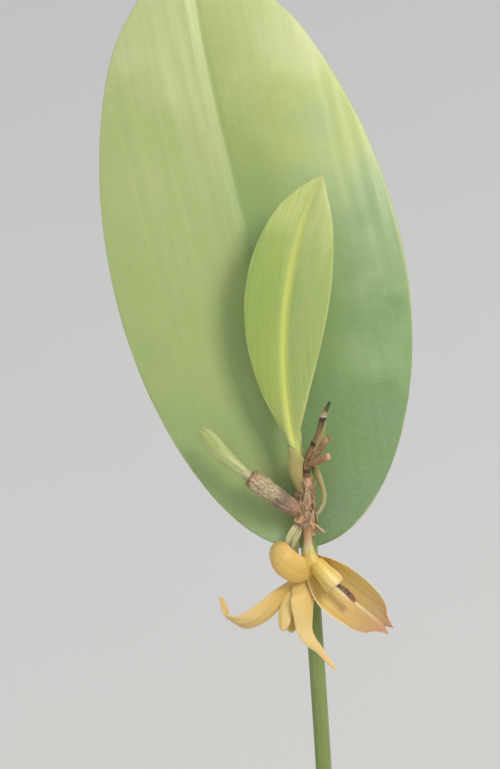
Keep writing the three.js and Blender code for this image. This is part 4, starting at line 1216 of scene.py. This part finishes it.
class ORCHID_OT_crown(bpy.types.Operator):
    """Rotted fibrous bracts on the stem's tip, and the pale bract beside the left flower's stalk"""

    bl_idname = "orchid.crown"
    bl_label = "Crown"

    scales = 18

    def execute(self, context):
        core = through((0.7, -0.2, 1.8), (0.7, 0.95, 2.5), (0.6, 2.5, 2.9), (0.55, 4.3, 3.2),
                       (0.6, 6.4, 3.8))

        def radius(t):
            return 1.16 - 0.38 * t**1.3

        def lumps(turn, t):
            return 0.3 * rough_round(0.8, 1, turn, 6.5 * t) + 0.14 * rough_round(0.3, 1, turn, 6.5 * t)

        bm = new_bmesh()
        stalk(bm, core, radius, relief=lumps, columns=84, rows=110)
        for centre, size in (((0.1, 1.3, 3.4), 0.66), ((1.2, 1.0, 3.3), 0.5), ((-0.4, 2.2, 3.3), 0.52),
                             ((0.4, 3.2, 3.7), 0.5), ((0.8, 5.2, 3.8), 0.42)):
            self.add_knob(bm, Vector(centre), size)
        rng = random.Random(11)
        for i in range(self.scales):
            self.add_scale(bm, rng, core, radius, i)
        for _ in range(context.scene.orchid_flowers.fibres):
            self.add_fibre(bm, rng, core, radius)
        point = through((0.9, 1.3, 2.8), (2, 0.5, 2.8), (2.9, -0.1, 2.5))
        blade(bm, point, (0.3, 0.5, 0.8), widths(0.5, 0.36, 0.1), 0.3, lambda a, t: -0.25 * a * a,
              columns=20, rows=24)
        add_piece("crown", bm, crown_fibre, "dry_bract", LEAF_FRAME)
        bm = new_bmesh()
        for bends in (((-0.1, 1.1, 2.9), (-0.85, 0.1, 3.3), (-1.35, -0.9, 3.2), (-1.6, -1.9, 3)),
                      ((0.35, 0.8, 2.9), (-0.2, -0.2, 3.2), (-0.62, -1.1, 3.1), (-0.8, -2, 2.9))):
            blade(bm, through(*bends), (0.8, -0.6, 0.2), widths(0.26, 0.34, 0.36, 0.24), 0.3,
                  lambda a, t: -0.1 * a * a, columns=32, rows=40)
        add_piece("green_bract", bm, pale_bract, "green_bract", LEAF_FRAME)
        return {"FINISHED"}

    def add_knob(self, bm, centre, size):
        """A lump of felted fibres."""
        place, reach = layers(bm)
        made = bmesh.ops.create_icosphere(bm, subdivisions=4, radius=size)["verts"]
        for vert in made:
            lump = 0.3 * rough(0.5, *(vert.co + centre)) + 0.16 * rough(0.2, *(vert.co + centre))
            vert[place], vert[reach] = (vert.co.x, 0.3, vert.co.z), (0, 1, vert.co.y)
            vert.co = centre + vert.co * (1 + lump / size)

    def add_scale(self, bm, rng, core, radius, i):
        """A narrow dry bract that lies along the crown."""
        share = 0.02 + 0.66 * i / self.scales
        point, sideways, upwards, onwards = core.axes(share, UPRIGHT)
        turn = i * GOLDEN_TURN
        out = spoke(turn, sideways, upwards)
        foot, length = radius(share), rng.uniform(2.0, 3.2)
        lean = out.cross(onwards) * rng.uniform(-0.4, 0.4)
        path = through(point + out * (foot * 0.8), point + out * (foot + 0.08) + onwards * 0.4 * length,
                       point + out * (0.8 * foot + rng.uniform(0.0, 0.1)) + onwards * length + lean)
        width = rng.uniform(0.26, 0.44)
        blade(bm, path, out.cross(onwards), widths(width, 1.1 * width, 0.7 * width, 0.06), 0.07,
              lambda a, t: -0.4 * width * a * a + 0.05 * rough(0.4, a, 3 * t, i), teeth=0.3, columns=20,
              rows=20)

    def add_fibre(self, bm, rng, core, radius):
        """A loose fibre, which stands off the crown at its far end."""
        share = rng.uniform(0.03, 0.85)
        point, sideways, upwards, onwards = core.axes(share, UPRIGHT)
        turn = rng.uniform(0, 2 * math.pi)
        out = spoke(turn, sideways, upwards)
        foot, length = radius(share), rng.uniform(0.5, 1.7)
        bend = out.cross(onwards) * rng.uniform(-0.8, 0.8)
        path = through(point + out * foot, point + out * (foot + 0.16) + onwards * 0.5 * length + bend * 0.4,
                       point + out * (foot + rng.uniform(0.0, 0.3)) + onwards * length + bend)
        stalk(bm, path, widths(0.045, 0.04, 0.02), columns=5, rows=8)


class ORCHID_OT_old_stalk(bpy.types.Operator):
    """Dry flower stalk with dark joints and broken side stubs, and the pale strips beside it"""

    bl_idname = "orchid.old_stalk"
    bl_label = "Old Flower Stalk"

    def execute(self, context):
        path = through((0.6, 6.2, 3.7), (0.6, 7.35, 4.1), (1.05, 9, 4.6), (1.75, 10.55, 5),
                       (2.25, 12.1, 5.4), (2.65, 13.6, 5.8), (3.4, 15.25, 6.2))

        def swellings(turn, t):
            joints = ((0.12, 0.1), (0.47, 0.1), (0.8, 0.1), (0.86, 0.06))
            joined = sum(size * hump(t, share, 0.022) for share, size in joints)
            return joined + 0.05 * rough_round(0.35, 1, turn, 5 * t)

        form_piece("old_flower_stalk", stalk, old_stalk_skin, "dry_bract", LEAF_FRAME, path,
                   widths(0.52, 0.5, 0.46, 0.38, 0.33, 0.32, 0.14), relief=swellings, columns=32, rows=140)
        bm = new_bmesh()
        stubs = ((((1.1, 8.4, 4.7), (1.9, 9.2, 5.3), (2.6, 10.2, 5.9), (3.1, 11, 6.1)), 0.42, 0.3),
                 (((1, 8, 4.6), (1.8, 8.25, 5.4), (2.6, 8.6, 6.0), (3.3, 8.85, 6.4)), 0.46, 0.42),
                 (((3, 10.8, 6.1), (3.2, 11.15, 6.15), (3.25, 11.5, 6.15)), 0.2, 0.12),
                 (((3, 10.8, 6.1), (3.3, 10.95, 6.2), (3.6, 10.85, 6.3)), 0.2, 0.13))
        for bends, foot, tip in stubs:
            stalk(bm, through(*bends), widths(foot, 0.5 * (foot + tip) - 0.06, tip), hollow=0.4 * tip,
                  relief=lambda turn, t: 0.3 * foot * rough_round(0.3, 1, turn, 4 * t), columns=28)
        add_piece("old_stalk_stubs", bm, broken_stub, "dry_bract", LEAF_FRAME, replaced=[])
        bm = new_bmesh()
        strip = through((1.9, 2.05, 3.2), (2.45, 2.85, 3.4), (2.7, 4.15, 3.6), (2.3, 5.7, 3.7),
                        (1.7, 7.1, 3.6), (1.4, 8.3, 3.5))
        blade(bm, strip, (0.8, 0, 0.6), widths(0.22, 0.3, 0.34, 0.42, 0.55, 0.35), 0.3,
              lambda a, t: -0.16 * a * a, columns=28, rows=50)
        beside = through((1.45, 8.7, 5.1), (2.4, 11.2, 5.7), (2.85, 12.9, 6.0))
        blade(bm, beside, (0.8, 0, 0.3), widths(0.24, 0.36, 0.1), 0.2, lambda a, t: -0.12 * a * a,
              columns=20, rows=30)
        add_piece("pale_strip", bm, strip_skin, "green_bract", LEAF_FRAME)
        return {"FINISHED"}


def ripples(half_width, length, ridge, warts, seed):
    """Lengthwise ridges, warts and slight swellings of a fleshy flower part."""

    def relief(a, t, face):
        along, across = t * length, a * half_width(t)
        ends = smoothstep(0, 0.1, t) * (1 - smoothstep(0.9, 1, t))
        lift = ridge * rough(0.45, across, along / 14, seed) + 0.07 * rough(1.8, across, along, seed)
        return ends * (lift + warts * rough(0.3, across, along, seed + 5))

    return relief


def make_flower_blade(name, bends, across, half_width, rise, material, slot, seed, ridge=0.06, warts=0.0,
                      crease=0.0, **shape):
    """A sepal, petal or lip. crease is the depth of the fold along its middle."""
    path = through(*bends)
    waves = ripples(half_width, path.length, ridge, warts, seed)

    def relief(a, t, face):
        return waves(a, t, face) - crease * hump(a * half_width(t), 0, 0.22)

    thickness = bpy.context.scene.orchid_flowers.sepal_thickness / MM
    shape = {"columns": 72, "rows": 80, "thickness": thickness, **shape}
    form_piece(name, blade, material, slot, LEAF_FRAME, path, across, half_width, rise=rise, relief=relief,
               **shape)


def make_flower_stalk(name, bends, radius, material, slot, ribs=0.0, **shape):
    """A flower's stalk, whose far end is the ribbed ovary, or its column."""

    def relief(turn, t):
        return ribs * math.cos(6 * turn) * t**4 + 0.03 * rough_round(0.5, 1, turn, 6 * t)

    form_piece(name, stalk, material, slot, LEAF_FRAME, through(*bends), radius, relief=relief, columns=36,
               rows=80, **shape)


class ORCHID_OT_open_flower(bpy.types.Operator):
    """Flower on the right, seen into its mouth"""

    bl_idname = "orchid.open_flower"
    bl_label = "Open Flower"

    def execute(self, context):
        make_flower_stalk("flower_open_stalk",
                          ((0.85, 0.7, 2.9), (0.85, -0.3, 3.7), (0.9, -1.7, 4.1), (1.05, -3.0, 4.2),
                           (1.7, -4.3, 4.25)),
                          lambda t: 0.5 + 0.48 * smoothstep(0.35, 0.85, t) - 0.6 * smoothstep(0.88, 1, t),
                          flower_stalk, "green_bract", ribs=0.06)
        make_flower_stalk("flower_open_column",
                          ((1.6, -3.5, 4.2), (2.5, -4.55, 4.85), (3.35, -5.5, 5.0), (4.1, -6.3, 4.9)),
                          lambda t: 0.7 + 0.2 * t, flower_column, "petal", hollow=0.5)
        make_flower_blade("flower_open_lip",
                          ((2.1, -5, 3.4), (3.7, -5.95, 3.8), (5.2, -6.9, 4.0), (6.05, -7.8, 4.0),
                           (6.5, -8.4, 4.3)), (-0.6, -0.8, 0), widths(0.22, 0.27, 0.27, 0.36, 0.26),
                          lambda a, t: 0.12 * a * a, fleshy_lip, "lip", 31, warts=0.3, crease=0.06,
                          thickness=0.4, teeth=0.3)
        petals = {"left": ((1.3, -4.05, 4.1), (1.95, -4.95, 4.85), (2.75, -6.0, 5.1), (3.6, -7.3, 4.8)),
                  "right": ((2.1, -3.3, 4.1), (2.95, -4.15, 4.85), (3.9, -4.95, 5.1), (4.95, -5.95, 4.8))}
        for seed, (side, bends) in enumerate(petals.items(), 32):
            tilt = -0.6 if side == "left" else 0.6
            make_flower_blade(f"flower_open_petal_{side}", bends, (-0.5, -0.43, tilt),
                              round_tipped(widths(0.7, 0.9, 0.95, 0.6), 0.14, 0.3), troughed(-0.5),
                              waxy_petal, "petal", seed, teeth=0.15, thickness=0.35)
        cup_width = round_tipped(widths(1.45, 2.75, 3.0, 2.55, 1.0), 0.04, 0.9)
        make_flower_blade("flower_open_synsepal",
                          ((1.22, -3.35, 2.6), (4.4, -6.86, 1.6), (7.16, -9.02, 1.7), (10.78, -11.87, 3)),
                          (-0.645, -0.764, 0),
                          lambda t: cup_width(t) * lerp(0.75, 1, smoothstep(0, 0.1, t)),
                          troughed(1.5), open_synsepal, "sepal", 34, crease=0.16, teeth=1.1, columns=120,
                          rows=130)
        make_flower_blade("flower_open_dorsal_sepal",
                          ((1.3, -4.6, 3.7), (0.4, -4.75, 4.6), (-0.75, -4.25, 6.0), (-1.9, -3.35, 6.7),
                           (-2.9, -2.35, 6.1), (-3.3, -1.95, 4.3), (-3.0, -2.15, 2.2)), (0.5, 0.86, 0),
                          round_tipped(widths(1.3, 1.6, 1.68, 1.62, 1.42, 1.1, 0.6)),
                          lambda a, t: -0.6 * a * a * math.sin(math.pi * lerp(0.1, 0.9, t)),
                          open_dorsal_sepal, "sepal", 35, ridge=0.03, columns=96, rows=120)
        return {"FINISHED"}


class ORCHID_OT_side_flower(bpy.types.Operator):
    """Flower on the left, seen from its side"""

    bl_idname = "orchid.side_flower"
    bl_label = "Side Flower"

    def execute(self, context):
        make_flower_stalk("flower_side_stalk",
                          ((0.2, 0.8, 2.4), (-0.25, -0.25, 2.4), (-0.6, -1.8, 2), (-0.55, -3.7, 1.8),
                           (-0.25, -5.35, 2), (0, -6, 2.1)),
                          lambda t: 0.44 + 0.42 * t**5, side_flower_stalk, "green_bract", ribs=0.06)
        # This column is waisted behind its cap.
        make_flower_stalk("flower_side_column", ((0, -5.9, 2.3), (-0.15, -7.9, 2.3), (-0.4, -9.7, 2.3)),
                          lambda t: 0.42 + 0.12 * t - 0.1 * hump(t, 0.82, 0.07), flower_column, "petal")
        make_flower_blade("flower_side_lip", ((0.4, -6.3, 2.1), (0.4, -8.1, 2), (0.35, -9.2, 2),
                                              (0.2, -10.2, 2.1)), (0, 0, 1),
                          widths(0.25, 0.32, 0.36, 0.4, 0.25), lambda a, t: 0.15 * a * a, fleshy_lip, "lip",
                          41, warts=0.2, crease=0.08)
        petals = {"left": ((-0.3, -6, 2.3), (-1.5, -8.2, 2.7), (-1.9, -10.1, 2.9), (-2.05, -11.85, 2.9)),
                  "right": ((-0.1, -6.1, 1.6), (-0.55, -8.6, 1.3), (-0.95, -10.6, 1.2),
                            (-1.15, -12.15, 1.2))}
        for seed, (side, bends) in enumerate(petals.items(), 42):
            tilt = 0.5 if side == "left" else -0.5
            make_flower_blade(f"flower_side_petal_{side}", bends, (0.85, 0, tilt),
                              round_tipped(widths(0.45, 0.78, 0.9, 0.68), 0.2), troughed(0.5 * tilt),
                              side_petal_skin, "petal", seed)
        margin_drop = widths(2.0, 2.3, 1.5, 0.68, 0.18)
        make_flower_blade("flower_side_synsepal",
                          ((1.1, -5.8, 2.2), (1.4, -7.4, 2.4), (1.25, -9.8, 2.5), (1.3, -11.9, 2.4),
                           (2.55, -13.9, 2.2), (4.25, -16.4, 2)),
                          (-0.1, 0, 1), widths(0.9, 1.7, 1.2, 0.42, 0.14),
                          lambda a, t: -margin_drop(t) * a * a,
                          side_sepal, "sepal", 44, ridge=0.16, columns=110, rows=120,
                          thickness=lambda t: lerp(0.5, 0.34, t))
        make_flower_blade("flower_side_dorsal_sepal",
                          ((-0.2, -6.05, 2.4), (-2.2, -7.7, 2.6), (-4.7, -10.05, 2.6), (-6.9, -10.9, 2.4),
                           (-8.7, -10.1, 2.2), (-9.45, -7.85, 2.2)), (-0.55, 0.55, 0.62),
                          round_tipped(widths(0.8, 1.15, 1.5, 1.4, 0.9, 0.3), 0.04), troughed(-0.3),
                          side_sepal, "sepal", 45, ridge=0.05, columns=96, rows=130,
                          thickness=lambda t: lerp(0.5, 0.3, t))
        return {"FINISHED"}


class ORCHID_OT_stage(bpy.types.Operator):
    """Pale floor, soft lights and the camera"""

    bl_idname = "orchid.stage"
    bl_label = "Stage"

    def execute(self, context):
        scene, settings = context.scene, context.scene.orchid_stage
        bm = bmesh.new()
        bmesh.ops.create_grid(bm, x_segments=1, y_segments=1, size=0.5 * settings.floor_size)
        mesh = bpy.data.meshes.new("floor")
        bm.to_mesh(mesh)
        bm.free()
        floor = bpy.data.objects.new("floor", mesh)
        scene.collection.objects.link(floor)
        mesh.materials.append(shared(matt_paint))

        world = bpy.data.worlds.new("surroundings")
        world.use_nodes = True
        background = world.node_tree.nodes["Background"]
        background.inputs["Color"].default_value = linear("#f2f4f8")
        background.inputs["Strength"].default_value = settings.sky
        scene.world = world

        self.add_light("key", (0.42, -0.36, 0.85), 0.3, settings.key_power, "#fff6e8")
        self.add_light("glow", (0.75, 0.35, 0.5), 0.5, 0.25 * settings.key_power, "#f2f6ff")
        self.add_light("fill", (-0.7, -0.6, 0.4), 0.9, 0.3 * settings.key_power, "#eef3ff")

        # The camera looks square at the large leaf, from 400 mm off its face.
        camera = bpy.data.cameras.new("camera")
        camera.lens, camera.sensor_width = 157.4, 36
        camera.clip_start, camera.clip_end = 0.01, 50
        placed = bpy.data.objects.new("camera", camera)
        placed.location = (-0.00595, -0.3238, 0.375)
        placed.rotation_euler = (math.radians(60), 0, 0)
        scene.collection.objects.link(placed)
        scene.camera = placed
        scene.view_settings.view_transform = "Standard"
        return {"FINISHED"}

    def add_light(self, name, place, size, power, colour):
        """A square soft light, which looks at the flowers."""
        light = bpy.data.lights.new(name, "AREA")
        light.size, light.energy, light.color = size, power, linear(colour)[:3]
        lamp = bpy.data.objects.new(name, light)
        lamp.location = place
        aim = Vector((0, 0.02, 0.17)) - Vector(place)
        lamp.rotation_euler = aim.to_track_quat("-Z", "Y").to_euler()
        bpy.context.scene.collection.objects.link(lamp)


PIECES = (ORCHID_OT_pot, ORCHID_OT_bark, ORCHID_OT_rhizome, ORCHID_OT_stems, ORCHID_OT_leaves,
          ORCHID_OT_plantlet, ORCHID_OT_shoot, ORCHID_OT_crown, ORCHID_OT_old_stalk, ORCHID_OT_open_flower,
          ORCHID_OT_side_flower, ORCHID_OT_stage)


class ORCHID_PT_panel(bpy.types.Panel):
    """Pieces of the potted orchid"""

    bl_idname = "ORCHID_PT_panel"
    bl_label = "Potted Acianthera"
    bl_space_type = "VIEW_3D"
    bl_region_type = "UI"
    bl_category = "Orchid"

    def draw(self, context):
        for group in SETTINGS:
            settings = getattr(context.scene, group)
            for name in settings.__annotations__:
                self.layout.prop(settings, name)
        for piece in PIECES:
            self.layout.operator(piece.bl_idname)


SETTINGS = {"orchid_pot": PotSettings, "orchid_leaves": LeafSettings, "orchid_flowers": FlowerSettings,
            "orchid_stage": StageSettings}
CLASSES = (*SETTINGS.values(), *PIECES, ORCHID_PT_panel)


def register():
    for cls in CLASSES:
        bpy.utils.register_class(cls)
    for group, cls in SETTINGS.items():
        setattr(bpy.types.Scene, group, PointerProperty(type=cls))


def unregister():
    for group in SETTINGS:
        delattr(bpy.types.Scene, group)
    for cls in reversed(CLASSES):
        bpy.utils.unregister_class(cls)


def main():
    register()
    orchid = bpy.ops.orchid
    for make in (orchid.pot, orchid.bark, orchid.rhizome, orchid.stems, orchid.leaves, orchid.plantlet,
                 orchid.shoot, orchid.crown, orchid.old_stalk, orchid.open_flower, orchid.side_flower,
                 orchid.stage):
        make()


if __name__ == "__main__":
    main()
